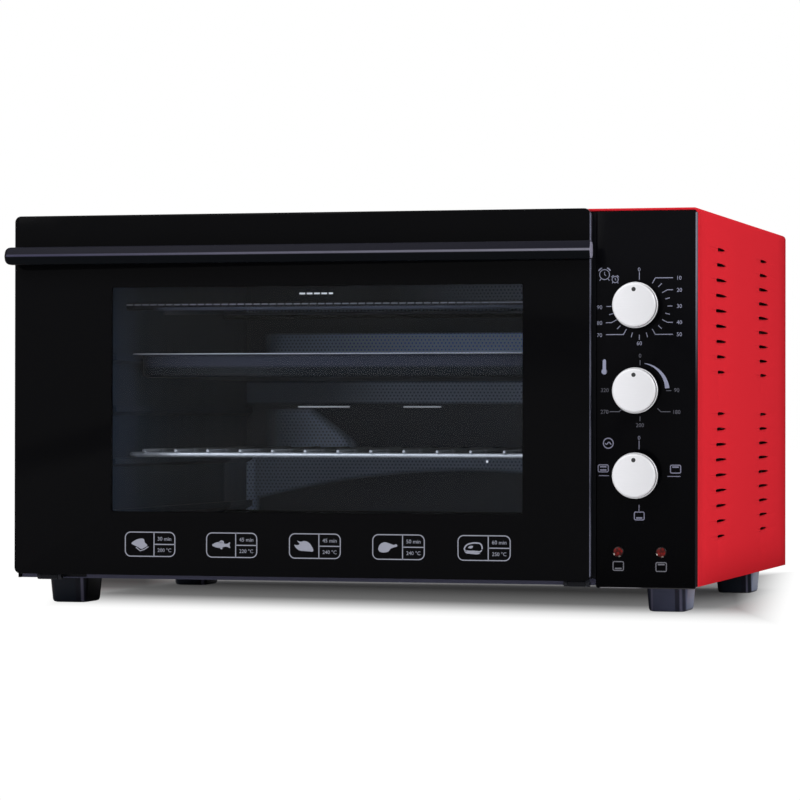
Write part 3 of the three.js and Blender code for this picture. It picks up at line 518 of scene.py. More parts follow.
def outwards(wires, low, high, radius):
    """How far a place is from a rectangle less its corner radius, which is the radius along its outline."""
    sides = [(abs(wire - (a + b) / 2) - ((b - a) / 2 - radius * MM)).larger(0.0)
             for wire, a, b in zip(wires, low, high)]
    return distance(*sides)


# Finishes: each function returns the surface of the material that its recipe belongs to


def red_enamel(recipe, red):
    """Baked paint: a fine orange peel, a faint cloudiness, a painted shade that deepens slowly towards the
    back, and a painted shadow along the lower left edge.
    """
    x, y, z = recipe.axes
    cloud = recipe.noise(9.0)
    # Random cloudiness, and a painted shade that darkens the red towards the back
    share = (cloud * 0.35 + y.ramp(shell_low[1], shell_high[1]) * 0.65).smaller(1.0)
    # A painted shadow, near black, along the wrapper's lower left edge
    painted_heel_shading = z.rise(4.4, 4, shell_low[2]) * x.rise(6, 5, shell_low[0])
    base = recipe.coats(red, (share, darker(red, 0.89)), (painted_heel_shading, 14, 14, 17))
    return recipe.shader(base, cloud.ramp(0.3, 0.7, 0.36, 0.44), 0.0, (recipe.noise(750.0, 1.0), 0.12, 0.2))


def plain(recipe, base, roughness, metallic=0.0, grain=600.0, relief=0.1, shade=0.85, level=0.5):
    """A finish with fine grain, a little cloudiness in its colour and an uneven gloss."""
    cloud = recipe.noise(22.0, 3.0)
    rough = cloud.ramp(0.25, 0.75, roughness - 0.08, roughness + 0.08)
    return recipe.shader(recipe.mixed(cloud, base, darker(base, shade)), rough, level,
                         (recipe.noise(grain), relief, 0.15), Metallic=metallic)


def door_steel(recipe):
    """The door's steel frame: along its upright edge a painted highlight that grows paler upwards, and a
    little darker at the foot by the hinge barrels.
    """
    _, _, z = recipe.axes
    # A painted highlight up the frame's upright edge, paler towards the top
    edge = recipe.coats(linear(34, 36, 44), (z.rise(40, 250), 49, 50, 58), (z.rise(268, 296), 70, 68, 79))
    base = recipe.coats(linear(30, 31, 36), (z.rise(3, 12, door_low[2]), edge),
                        (recipe.noise(22.0, 3.0) * 0.3, 40, 42, 50))
    return recipe.shader(base, 0.45, 0.15, (recipe.noise(300.0), 0.05, 0.15), Metallic=0.1)


def foot_plastic(recipe):
    """Black moulded feet with painted light: the right feet's flanks and the front right foot's face painted
    paler as painted reflection, the left feet's flanks painted dark as painted shade, and upright streaks of
    painted highlight and painted shade along the rounded corners.
    """
    x, y, _ = recipe.axes
    (start, front_end, _), (end, back_end, _) = box_of("foot_front_left")
    right = x.rise(-1, 1)
    across = x - start - right * (box_of("foot_front_right")[0][0] - start)

    def streak(middle, half):
        return abs(across - middle * MM).fall(half - 0.4, half + 0.4)

    # The front right foot's face, painted paler as a painted reflection
    front = right * y.rise(20, -20)
    # Upright streaks along the rounded corners: the dark ones are painted shade, the pale ones painted
    # highlights
    dark = streak(1.8, 2.2).larger(streak(25.5, 1.8), streak(31.2, 1.4))
    pale = (streak(29.4, 1.1) * (1.0 - right)).larger(streak(28.4, 0.7) * right, streak(5.0, 0.7) * front)
    # The right feet's flanks, painted as lit and paler towards the back; the left feet's flanks are painted
    # dark as shade
    lit = recipe.coats(linear(78, 83, 106), (y.ramp(front_end, back_end - 8 * MM), 112, 120, 142))
    base = recipe.coats(
        linear(26, 31, 41), (front, 73, 76, 97), (recipe.noise(60.0, 3.0) * 0.25, 16, 19, 26),
        (dark * 0.75, 20, 19, 29), (pale, 92, 90, 110),
        (across.rise(-2.2, -1.6, end - start), recipe.mixed(right, linear(15, 15, 19), lit)))
    return recipe.shader(base, 0.4, 0.12, (recipe.noise(900.0), 0.2, 0.15))


def door_glass(recipe, door):
    """Toughened glass, black from behind round a clear window that carries a very thin film, with a painted
    highlight along its right edge.
    """
    x, _, z = recipe.axes
    window_low = pane_low[FLAT] + np.array([5, 9.3]) * MM
    window_high = pane_high[FLAT] - np.array([6, 8.6]) * MM
    corner = 1.2
    black_part = outwards((x, z), window_low, window_high, corner).rise(corner - 0.2, corner + 0.2)
    # The back print's colour, with a painted highlight along the glass's right edge
    base = recipe.coats(door.black, (recipe.noise(5.0), darker(door.black, 0.7)),
                        (x.rise(-0.5, -0.1, door_high[0]), 112, 114, 132))
    black = recipe.shader(base, recipe.noise(30.0, 4.0).ramp(0.3, 0.7, 0.03, 0.09), 0.03)
    clear = recipe.blend(0.0005, clear_pane(recipe, door.tint), recipe.diffuse(linear(225, 230, 240)))
    return recipe.blend(black_part, clear, black)


def clear_pane(recipe, tint):
    """A pane that lets tinted light through and mirrors more at a flat angle."""
    through = recipe.node("ShaderNodeBsdfTransparent", sockets={"Color": tint})
    mirror = recipe.node("ShaderNodeBsdfGlossy", sockets={"Roughness": 0.03})
    return recipe.blend(recipe.node("ShaderNodeFresnel", sockets={"IOR": 1.45}) * 0.11, through, mirror)


def panel_gloss(recipe):
    """Black gloss panel with a soft uneven mirror, painted paler towards the top as painted light, with a
    painted highlight on its right rim and another on its lower rim.
    """
    x, _, z = recipe.axes
    # Where a painted highlight runs along the lower rim
    sill = z.rise(0.9, 0.6, panel_low[2]) * x.rise(3, 4, panel_low[0])
    base = recipe.coats(
        linear(1, 1, 2), (z.rise(20, 300), 12, 12, 15), (recipe.noise(14.0) * 0.3, 6, 6, 8),
        (x.rise(-0.7, -0.2, panel_high[0]), 66, 64, 78),
        (sill * x.ramp(244 * MM, 238 * MM, 0.2, 1.0), 128, 126, 130))
    return recipe.shader(base, recipe.noise(60.0, 4.0).ramp(0.3, 0.7, 0.08, 0.16), 0.026)


def panel_rim_painted_light(recipe):
    """Thin strip at the panel's right edge that carries painted light: black low down, a painted highlight
    that greys upwards, and a purple painted shadow where it lies past the panel's edge.
    """
    x, _, z = recipe.axes
    # A painted highlight that grows upwards
    lit = z.rise(170, 290, smooth=True) * (recipe.noise(40.0, 3.0) * 0.3 + 0.8).smaller(1.0)
    # The highlight's colour, purple past the panel's edge as a painted shadow on the red hem
    pale = recipe.coats(linear(118, 122, 134), (x.rise(0.9, 1.2, panel_high[0]), 84, 52, 66))
    return recipe.shader(recipe.coats(linear(18, 15, 19), (lit, pale)), 0.4, 0.1)


def knob_silver(recipe, silver):
    """Aluminium caps, brushed straight across: noise stretched along x shifts colour, gloss and normal; a
    painted shade darkens each cap towards its right.
    """
    x, _, _ = recipe.axes
    hair = recipe.noise(1.0, 3.0, 0.6, stretch=(60.0, 60.0, 5200.0))
    # A painted shade, darker towards each cap's right side
    across = x.rise(-17, 17, centre_of("timer_knob")[0])
    base = recipe.coats(darker(silver, 1.075), (hair, darker(silver, 0.925)), (across, darker(silver, 0.86)))
    return recipe.shader(base, hair.ramp(0.3, 0.7, 0.34, 0.5), 0.3, (hair, 0.15, 0.05), Metallic=0.3)


def handle_gloss(recipe):
    """Black gloss bar with painted light: its upper facet is painted a little greyer, a painted highlight
    runs along the ridge and brightens towards the right, the right end carries a painted highlight and the
    left tip a painted shade.
    """
    x, _, z = recipe.axes
    cloud = recipe.noise(22.0, 3.0)
    # A painted highlight along the ridge
    painted_ridge_highlight = abs(z - ridge - 0.3 * MM).fall(0.5, 1.2) * (cloud * 0.4 + 0.75).smaller(1.0)
    # The painted highlight's colour, brighter towards the right
    painted_highlight_colour = recipe.coats(linear(64, 63, 83), (x.rise(-250, 190), 118, 117, 130))
    # Upper facet painted greyer as painted light; painted highlights on the ridge and the right end; the left
    # tip painted dark as shade
    base = recipe.coats(
        linear(5, 7, 11), (z.rise(0, 1, ridge), 21, 21, 31), (painted_ridge_highlight, painted_highlight_colour),
        (x.rise(-0.4, -0.1, handle_high[0]), 140, 138, 156), (x.rise(3.2, 1.8, handle_low[0]), 8, 8, 12))
    return recipe.shader(base, cloud.ramp(0.3, 0.7, 0.22, 0.3), 0.04, (recipe.noise(1400.0), 0.05, 0.15))


def chrome(recipe):
    """Bright wire, painted dark and dull behind its front rail and at its back, as painted shade."""
    _, y, _ = recipe.axes
    cloud = recipe.noise(22.0, 3.0)
    # Painted shade over the wire behind the front rail, deepest at the back
    far = y.ramp(-138 * MM, -100 * MM, 0.0, 0.75).larger(y.rise(100, 150))
    base = recipe.coats(linear(236, 238, 242), (cloud, 224, 226, 230), (far, 8, 10, 13))
    rough = cloud.ramp(0.25, 0.75, 0.18, 0.26).larger(far * 0.6)
    return recipe.shader(base, rough, 0.1, Metallic=(1.0 - far) * 0.55)


def heater_steel(recipe):
    """Dark oxidised rods: the front rods carry a painted highlight line broken into regular dashes, grey-blue
    bands of painted light lie on the upper rods, and the rear rods are painted darker as shade.
    """
    x, y, z = recipe.axes
    upper, lower = [centre_of(node)[2] for node in ("upper_heater_front", "lower_heater_front")]
    off = abs(z - upper).smaller(abs(z - lower))
    front = y.fall(-100, -60)
    # A painted highlight line along the front rods
    line = abs(off - 1.5 * MM).fall(0.3, 0.75) * front
    line = line * (z - upper).rise(0.2, 0.6).larger(z.rise(100, 90))
    # Regular dashes that break the painted highlight
    dash = x.to_nearest(7 * MM).ramp(0.5 * MM, 0.9 * MM, 0.15, 1.0).larger(x.rise(60, 120))
    scale = recipe.noise(160.0, 3.0)
    # Grey-blue painted light on the upper rods: below the middle of the front ones, above the middle of the
    # rear ones
    under = (z - upper).rise(-0.6, -1.2) * x.rise(-187, -176)
    tinted = recipe.mixed(front, (z - upper).rise(0.4, 0.9), under)
    # The front rods' colour; the rear rods keep a darker one, as painted shade
    dark = recipe.coats(linear(40, 42, 48), (scale, 24, 25, 30))
    base = recipe.coats(linear(13, 14, 17), (front, dark), (tinted * z.rise(90, 100), 98, 103, 120),
                        (line * dash, 228, 228, 242))
    return recipe.shader(base, 0.5, 0.1, (scale, 0.2, 0.2), Metallic=0.1)


def back_zones(x, z):
    """How bright the cavity's back is painted, 0 to 1: bands of painted light between bands of painted shade,
    and painted shade below an arch.
    """
    def band(low, high, soft=2.5):
        return z.rise(low - soft, low) * z.fall(high, high + soft)

    def along(low, high):
        return x.rise(low, high, smooth=True)

    upper = band(251.5, 256.5, 0.8) * 0.3
    middle = band(215, 231.5) * (along(-200, -60) * 0.58 + 0.28) * along(-193, -172)
    lower = band(170.5, 187) * (along(-130, -50) * 0.18 + 0.07)
    under_tray = band(203, 213) * 0.24
    ceiling = band(264, 276, 5) * along(-80, 60) * 0.24
    slope = x.ramp(-150 * MM, -100 * MM, 163 * MM, 126 * MM) - z
    funnel = slope.rise(-6, 4) * band(127, 163, 1) * along(-192, -165) * along(-98, -120)
    funnel = funnel * (along(-176, -130) * 0.34 + 0.22)
    spread = x - 5 * MM
    arch = spread * spread * -0.65 + 109 * MM
    floor = (z - arch).rise(-3, 1) * z.fall(121, 125) * x.ramp(-208 * MM, -60 * MM, 0.34, 0.24)
    edge = x.fall(-203, -196) * z.fall(120, 126) * 0.62
    return upper.larger(middle, lower, under_tray, ceiling, funnel, floor, edge), middle


def cavity_back_steel(recipe, cavity):
    """Cavity back: sheet with dark pressed dots in a hexagonal stagger, from two shifted square lattices;
    painted light and shade in bands, and painted glints and a painted sheen that glow as emission.
    """
    x, _, z = recipe.axes
    pitch, rise = cavity.dot_pitch, cavity.dot_pitch * math.sqrt(3)
    first = x.to_nearest(pitch) ** 2.0 + z.to_nearest(rise) ** 2.0
    second = (x + pitch / 2).to_nearest(pitch) ** 2.0 + (z + rise / 2).to_nearest(rise) ** 2.0
    dot = (first.smaller(second) ** 0.5).fall(0.6, 1.15, smooth=True)
    zone, sheen = back_zones(x, z)
    dot = dot * zone.ramp(0.05, 0.2)
    zone = zone * (recipe.noise(12.0, 3.0) * 0.5 + 0.75)
    steel = cavity.steel
    # The lit zones are painted far paler than the rest, as painted light
    base = recipe.coats(darker(steel, 0.24), (zone, darker(steel, 8.5)), (dot * 0.55, darker(steel, 0.1)))
    # Painted glints, a row of painted glint dashes near the top and a painted glint spot, all given off as
    # emission
    glint = x.near(-134, 25).larger(x.near(-39.5, 18)) * z.near(165.5, 0.6)
    painted_glint_dashes = x.near(-142.5, 17) * z.near(270.9, 0.8) * ((x - 1 * MM).to_nearest(7.1 * MM) < 2.7 * MM)
    spot = distance(x - 22 * MM, z - 115.4 * MM).fall(0.9, 1.5)
    # A painted bluish sheen in the middle band, given off as emission
    sheen = sheen * (1.0 - dot * 0.95) * x.ramp(-80 * MM, -25 * MM, 0.45, 0.8)
    glow = recipe.coats((0.0, 0.0, 0.0), (sheen, (0.035, 0.052, 0.086)), (glint, (0.36, 0.37, 0.4)),
                        (painted_glint_dashes.larger(spot), (0.75, 0.77, 0.82)))
    return recipe.shader(base, 0.42, 0.1, (dot, 0.4, 0.5), Metallic=0.2, Emission_Color=glow,
                         Emission_Strength=1.0)


def cavity_steel(recipe):
    """Cavity sheets: steel with faint upright streaks, painted lighter near the mouth, low at the back and
    along a sloping band, as painted light.
    """
    _, y, z = recipe.axes
    streak = recipe.noise(1.0, 3.0, stretch=(90.0, 90.0, 3.0))
    # Painted light near the mouth, low at the back and along a sloping band
    mouth = y.ramp(-135 * MM, -120 * MM, 1.0, 0.45)
    painted_heel_shading = y.rise(108, 116) * z.fall(118, 124)
    drop = z - (y + 57 * MM) * 0.031 - 250 * MM
    glow = drop.rise(0.3, -0.5) * drop.rise(-6.2, -5.2) * y.rise(-62, -50)
    share = (mouth.larger(painted_heel_shading, glow * 1.2) * (streak * 0.7 + 0.6)).smaller(1.0)
    base = recipe.coats((0.012, 0.035, 0.05), (share, (0.047, 0.064, 0.1)), (painted_heel_shading * 0.8, (0.11, 0.14, 0.2)),
                        (glow, (0.16, 0.18, 0.24)))
    return recipe.shader(base, streak.ramp(0.3, 0.7, 0.4, 0.5), 0.1, Metallic=0.2)


def woven(recipe, base, pitch):
    """Glass-fibre braid: two crossing sets of ridges from sine waves along the diagonals, with painted shade
    in the valleys between them.
    """
    x, y, z = recipe.axes
    waves = [(way * (FULL_TURN / pitch)).sine() for way in (x + y + z, x - y - z)]
    ridges = (waves[0] * waves[1]).ramp(-1.0, 1.0)
    return recipe.shader(recipe.mixed(ridges, darker(base, 0.5), base), 0.85, 0.5, (ridges, 0.6, 0.3))


def enamel(recipe):
    """Black vitreous enamel with fine pale specks, painted greyer up the wall and towards the right as
    painted light, and a painted highlight along the rim.
    """
    x, y, z = recipe.axes
    low, high = box_of("baking_tray")
    speck = recipe.noise(2400.0, 1.0).ramp(0.68, 0.74) * z.rise(2.5, 1.5, low[2])
    # Painted light: greyer up the wall and towards the right
    wall = z.rise(7.5, 10, low[2]) * x.ramp(-204 * MM, -160 * MM, 0.35, 1.0)
    # A painted highlight along the rim
    rim = outwards((x, y), low, high, TRAY_CORNER)
    rim = rim.rise(-1.2, -0.8, TRAY_CORNER * MM) * z.rise(-1.0, -0.8, high[2])
    base = recipe.coats(linear(31, 34, 40), (wall, 62, 66, 82), (speck * 0.3, 120, 122, 130),
                        (rim, 240, 242, 250))
    return recipe.shader(base, recipe.noise(30.0).ramp(0.3, 0.7, 0.3, 0.42), 0.12)


def red_lens(recipe, lens):
    """Unlit lamps: a clear red plastic lens with inner facets, in a dark ring with a painted highlight low
    down at the left and a fainter one at the lower right.
    """
    x, _, z = recipe.axes
    first, second = centre_of("lamp_left"), centre_of("lamp_right")
    right = x.rise(-1, 1, (first[0] + second[0]) / 2)
    across = x - first[0] - right * (second[0] - first[0])
    up = z - first[2]

    def outside(left, high, radius):
        return distance(across - left * MM, up - high * MM).fall(radius, radius + 0.5)

    facet = recipe.node("ShaderNodeTexVoronoi", sockets={"Vector": recipe.place, "Scale": 380.0})
    red = recipe.mixed(facet * 1.6, darker(lens, 1.2), darker(lens, 0.2))
    # Painted highlights on the ring, low down at the left and fainter at the lower right
    glint = outside(-3.5, -2.0, 0.5).larger(outside(1.2, -3.9, 0.7) * 0.25)
    base = recipe.coats(linear(13, 11, 12), (outside(0, 0, 3.3), red), (glint, 214, 206, 198))
    return recipe.shader(base, 0.35, 0.1, (facet, 0.4, 0.3), Coat_Weight=0.05)


def dial_print(recipe, ink):
    """The panel's printing: greyer from the middle dial down, with a bright crescent and thermometer."""
    x, _, z = recipe.axes
    centre = centre_of("thermostat_knob")
    across, up = x - centre[0], z - centre[2]
    crescent = across.rise(1.4, 1.8) * up.rise(1.0, 1.4) * distance(across, up).fall(24.6, 25)
    mercury = across.rise(-26, -27) * abs(up - 20 * MM).rise(11, 10)
    base = recipe.coats(linear(86, 86, 97), (up.rise(31, 33), ink))
    base = recipe.coats(linear(118, 118, 138), (up.rise(-35, -34), base))
    base = recipe.coats(linear(95, 95, 103), (z.rise(58, 62), base),
                        (crescent.larger(mercury), 148, 151, 176))
    return recipe.shader(base, recipe.noise(2500.0).ramp(0.3, 0.7, 0.42, 0.58), 0.3)


def painted(name, paint, *values, **named):
    """A material with the surface that paint returns."""
    material = bpy.data.materials.new(name)
    recipe = Recipe(material)
    recipe.node("ShaderNodeOutputMaterial", sockets={"Surface": paint(recipe, *values, **named)})
    return material


FINISHES = {}


def finishes():
    """Every finish by name, made once."""
    if FINISHES:
        return FINISHES
    oven = bpy.context.scene.oven

    def add(name, *recipe, **named):
        FINISHES[name] = painted(name, *recipe, **named)

    for paint, *values in (
            (red_enamel, oven.cabinet.enamel), (door_glass, oven.door), (panel_gloss,), (panel_rim_painted_light,),
            (knob_silver, oven.controls.silver), (cavity_back_steel, oven.cavity), (cavity_steel,),
            (enamel,), (red_lens, oven.controls.lens), (dial_print, oven.controls.ink), (foot_plastic,),
            (door_steel,), (handle_gloss,), (chrome,), (heater_steel,)):
        add(paint.__name__, paint, *values)
    add("clear_glass", clear_pane, oven.door.tint)
    add("seal_fibre", woven, linear(70, 70, 74), 1.6 * MM)
    add("wire_sleeve", woven, linear(196, 190, 172), 1.2 * MM)
    add("door_print", plain, oven.door.print_ink, 0.5, grain=2500.0, shade=0.88, level=0.3)
    add("black_steel", plain, linear(22, 23, 28), 0.42, 0.1, level=0.1)
    # The base pan's black steel painted paler, as painted light on its lit front lip
    add("lit_lip_steel", plain, linear(74, 74, 94), 0.45, level=0.1)
    add("zinc_steel", plain, linear(176, 178, 182), 0.38, 0.85, 90.0, 0.05)
    add("black_plastic", plain, linear(22, 24, 31), 0.4, 0.0, 900.0, 0.2, level=0.12)
    add("drum_plastic", plain, linear(10, 10, 13), 0.4, 0.0, 900.0, 0.2, level=0.05)
    add("bakelite", plain, linear(214, 208, 190), 0.55, 0.0, 500.0, 0.15)
    add("knob_dot", plain, linear(30, 30, 32), 0.4)
    return FINISHES


# Each finish covers the frame nodes whose names hold one of these words
NODE_FINISHES = {
    "black_steel": "base_pan front_frame door_inner_frame hinge_bracket hinge_pin",
    "zinc_steel": "rear_panel heat_shield thermostat_sensor handle_screw hinge_arm spindle rear_screw",
    "door_steel": "door_frame",
    "red_enamel": "outer_shell",
    "black_plastic": "foot handle_post hinge_glide cord_gland",
    "cavity_steel": "cavity_left cavity_right cavity_floor cavity_ceiling",
    "cavity_back_steel": "cavity_back",
    "heater_steel": "heater",
    "chrome": "wire_rack",
    "enamel": "baking_tray",
    "door_glass": "door_outer_glass",
    "clear_glass": "door_inner_glass",
    "seal_fibre": "door_seal",
    "handle_gloss": "door_handle",
    "panel_gloss": "control_panel",
    "bakelite": "_body terminal_block",
    "knob_silver": "knob",
    "red_lens": "lamp",
    "wire_sleeve": "wiring_harness",
}


# Operators


class OVEN_OT_finishes(bpy.types.Operator):
    """Give every frame node its finish"""

    bl_idname = "oven.finishes"
    bl_label = "Finish the frame's nodes"

    def execute(self, context):
        for finish, words in NODE_FINISHES.items():
            for node, solid in frame["nodes"].items():
                if any(word in node for word in words.split()):
                    solid.data.materials.clear()
                    solid.data.materials.append(finishes()[finish])
        return {"FINISHED"}


class OVEN_OT_wrapper(bpy.types.Operator):
    """Make the red wrapper with its pressed louvres and its folded front edge"""

    bl_idname = "oven.wrapper"
    bl_label = "Make the wrapper"

    # Rows across a louvre: offset from its middle, share of the opening and share of the press
    BELOW = ((-3.8, 0, 0), (-2.2, -0.3, 0.25), (-1.0, -0.7, 0.75), (0, -1, 1))
    ABOVE = ((0, 1, 0), (1.0, 0.5, 0), (3.2, 0, 0))
    GROUP_TOPS = (163 * MM, 29 * MM)
    SPOTS = (103 * MM, 316 * MM)
    SHORTEST, LONGEST = 34 * MM, 52 * MM
    COLUMNS = 25
    CORNER_STEPS = 6

    def side_rows(self, settings):
        """Rows up one side: height, opening share, press share and louvre length."""
        middle = (settings.slot_rows - 1) / 2
        rows = [(shell_low[2], 0, 0, self.SHORTEST)]
        for top in self.GROUP_TOPS:
            for row in reversed(range(settings.slot_rows)):
                centre = shell_high[2] - top - row * settings.slot_pitch
                longest = self.LONGEST - (self.LONGEST - self.SHORTEST) * ((row - middle) / middle) ** 2
                rows += [(centre + offset * MM, opening, press, longest)
                         for offset, opening, press in self.BELOW + self.ABOVE]
        rows.append((shell_high[2] - settings.corner, 0, 0, self.SHORTEST))
        return np.array(rows)

    def execute(self, context):
        settings = context.scene.oven.cabinet
        r, steps = settings.corner, self.CORNER_STEPS
        left_arc = arc((shell_low[0] + r, shell_high[2] - r), r, 180, 90, steps)
        right_arc = arc((shell_high[0] - r, shell_high[2] - r), r, 90, 0, steps)
        nose = settings.hem / 2
        self.skin(settings, left_arc, right_arc, shell_low[1] + nose)

        low = np.array([[shell_low[0], shell_low[2]]])
        path = np.concatenate([low, left_arc, right_arc, [[shell_high[0], shell_low[2]]]])
        normal = arc((0, 0), 1, 180, 90, steps)
        normal = np.concatenate([[[-1, 0]], normal, normal[::-1] * (-1, 1), [[1, 0]]])
        self.hem(settings, path, normal, nose)
        return {"FINISHED"}

    def skin(self, settings, left_arc, right_arc, front):
        """The wrapper's path carried along y; at a louvre, rows open as half circles and press inwards."""
        u = -np.cos(np.linspace(0, math.pi, self.COLUMNS))
        t = ((u + 1) / 2) ** 0.6
        lens = np.sqrt(np.maximum(4 * t * (1 - t), 0))
        near, far = [shell_low[1] + spot for spot in self.SPOTS]
        back = shell_high[1]
        along = np.concatenate([[0, 0], lens, np.zeros(3), lens, [0, 0]])

        def row_places(reach):
            """Distances from the front along one row: louvre columns scale with the louvre's length."""
            return np.concatenate([
                [front, (front + near) / 2 - 12 * MM], near + reach / 2 * u, np.linspace(near, far, 5)[1:4],
                far + reach / 2 * u, [(far + back) / 2 + 12 * MM, back]])

        heights, opening, press, lengths = self.side_rows(settings).T
        depth = np.stack([row_places(reach) for reach in lengths])
        z = heights[:, None] + opening[:, None] * along * settings.slot_height / 2
        inward = press[:, None] * along * settings.slot_press
        left = np.stack([shell_low[0] + inward, depth, z], axis=-1)
        right = np.stack([shell_high[0] - inward, depth, z], axis=-1)[::-1]
        straight = row_places(self.SHORTEST)

        def bent(path):
            across, up = np.repeat(path.T[..., None], len(straight), axis=2)
            return np.stack([across, np.broadcast_to(straight, up.shape), up], axis=-1)

        points = np.concatenate([left, bent(left_arc[1:]), bent(right_arc[:-1]), right])
        slots = range(2 * settings.slot_rows)
        cuts = [len(self.BELOW) + len(self.BELOW + self.ABOVE) * slot for slot in slots]
        cuts += [len(points) - 2 - cut for cut in cuts]
        piece = new_piece("wrapper_skin", grid(points, wrap_columns=False, cut_rows=cuts), "cabinet",
                          "red_enamel", replaces="outer_shell", crease=40, merge=2e-5, mend=False)
        wall = piece.modifiers.new("sheet", "SOLIDIFY")
        wall.thickness = settings.sheet
        wall.offset = -1

    def hem(self, settings, path, normal, nose):
        """The folded edge: a half circle and two flats, moved in along the path's normal."""
        fold = arc((0, 0), nose, 90, 270, 8)
        inward = np.concatenate([nose - fold[:, 1], [settings.hem, settings.sheet, settings.sheet]])
        back = np.concatenate([nose + fold[:, 0], [settings.hem_depth, settings.hem_depth, nose]])
        rows = np.zeros((len(path), len(inward), 3))
        rows[..., 0] = path[:, :1] - normal[:, :1] * inward
        rows[..., 2] = path[:, 1:] - normal[:, 1:] * inward
        rows[..., 1] = shell_low[1] + back
        new_piece("wrapper_hem", grid(rows, lids=(0, -1)), "cabinet", "red_enamel")


class OVEN_OT_cabinet(bpy.types.Operator):
    """Round the edges of the cabinet's black sheets, its rear panel and its feet"""

    bl_idname = "oven.cabinet"
    bl_label = "Make the cabinet's sheets and feet"

    def execute(self, context):
        softened("base_pan", "base_sheet", "lit_lip_steel", 0.3)
        softened("rear_panel", "rear_sheet", "zinc_steel", 0.2)
        for side in ("front_left", "front_right", "rear_left", "rear_right"):
            self.foot(f"foot_{side}")
        return {"FINISHED"}

    def foot(self, node):
        """A moulded foot: rounded block that widens upwards, with a rounded toe."""
        low, high = box_of(node)
        taper, tall = 1.6 * MM, high[2] - low[2]
        levels = [(taper + 2.4 * MM, 0), (taper + 0.7 * MM, 0.7 * MM), (taper, 2.4 * MM),
                  (0.4 * MM, tall * 0.8), (0, tall)]
        rings = inset_rings(low, high, 5 * MM, 6, [(inset, low[2] + rise) for inset, rise in levels])
        new_piece(f"{node}_moulding", layered(rings, "z"), "cabinet", "foot_plastic", node)


class OVEN_OT_door(bpy.types.Operator):
    """Make the door's glass panes, its steel edge and its bar handle"""

    bl_idname = "oven.door"
    bl_label = "Make the door"

    def execute(self, context):
        edge = context.scene.oven.door.edge
        front = plate(door_low, door_high, 5 * MM, edge)
        new_piece("door_front_glass", front, "door", "door_glass", replaces="door_outer_glass")
        rear = plate(pane_low, pane_high, 2 * MM, edge)
        new_piece("door_rear_glass", rear, "door", "clear_glass", replaces="door_inner_glass")
        softened("door_frame", "door_steel_edge", "door_steel", 0.25)
        self.handle(handle_low, handle_high)
        return {"FINISHED"}

    def handle(self, low, high):
        """The bar: one section carried along x; at an end its height and depth shrink by a quarter circle."""
        bevel, half, back = 2 * MM, 0.6 * MM, 1.4 * MM
        section = filleted([
            (high[1], low[2] + bevel), (high[1], high[2] - bevel), (high[1] - bevel, high[2]),
            (low[1] + back, high[2]), (low[1], ridge + half), (low[1], ridge - half),
            (low[1] + back, low[2]), (high[1] - bevel, low[2]),
        ], np.array([0.6, 0.6, 0.9, 1.2, 0.4, 0.4, 1.2, 0.9]) * MM)
        turn = np.radians(np.linspace(0, 90, 11))

        def nose(tall, deep):
            """Insets from the end, with the height and the depth that are taken off there."""
            inset = tall * (1 - np.sin(turn))[::-1]
            lost = tall * (1 - np.cos(turn))[::-1]
            front = deep * (1 - np.sqrt(np.clip(1 - (1 - np.minimum(inset / deep, 1)) ** 2, 0, 1)))
            return np.stack([inset, lost, front])

        left, right = nose(6 * MM, 3.4 * MM), nose(1.6 * MM, 0.6 * MM)[:, ::-1]
        _, lost, front = np.concatenate([left, right], axis=1)[..., None]
        rows = np.zeros((len(lost), len(section), 3))
        rows[..., 0] = np.concatenate([low[0] + left[0], high[0] - right[0]])[:, None]
        rows[..., 1] = section[:, 0] + (section[:, 0] - high[1]) / (low[1] - high[1]) * front
        rows[..., 2] = section[:, 1] - (section[:, 1] - ridge) / (high[2] - ridge) * lost
        new_piece("handle_bar", grid(rows, lids=(0, -1)), "door", "handle_gloss", replaces="door_handle",
                  crease=50)


class OVEN_OT_panel(bpy.types.Operator):
    """Make the black control panel and its two lamps"""

    bl_idname = "oven.panel"
    bl_label = "Make the control panel"

    def execute(self, context):
        sheet = plate(panel_low, panel_high, 2 * MM, 0.7 * MM)
        new_piece("panel_sheet", sheet, "cabinet", "panel_gloss", replaces="control_panel")
        # A thin strip along the panel's right edge that carries a painted highlight and a painted shadow
        low = np.array((panel_high[0], panel_low[1], panel_low[2])) + np.array((-0.4, -0.3, 2)) * MM
        high = np.array((panel_high[0], panel_low[1], panel_high[2])) + np.array((1.5, 0.3, -1.5)) * MM
        new_piece("panel_rim_painted_light", plate(low, high, 0.6 * MM, 0.25 * MM), "cabinet", "panel_rim_painted_light")
        self.lamp("lamp_left")
        self.lamp("lamp_right")
        return {"FINISHED"}

    def lamp(self, node):
        """A lamp: a low dome, its radius falling as a cosine while it rises as a sine."""
        low, high = box_of(node)
        radius, shoulder = (high[0] - low[0]) / 2, high[1] - 5 * MM
        turn = np.radians(np.linspace(90, 0, 10))
        rise = (panel_low[1] - low[1]) * np.sin(turn)
        dome = np.stack([radius * np.cos(turn), panel_low[1] - rise], axis=1)
        barrel = [(radius, shoulder), (radius * 0.6, shoulder), (radius * 0.6, high[1]), (0, high[1])]
        lens = lathe(np.concatenate([dome, barrel]), centre_of(node)[FLAT], sides=48)
        new_piece(f"{node}_lens", lens, "cabinet", "red_lens", replaces=node)


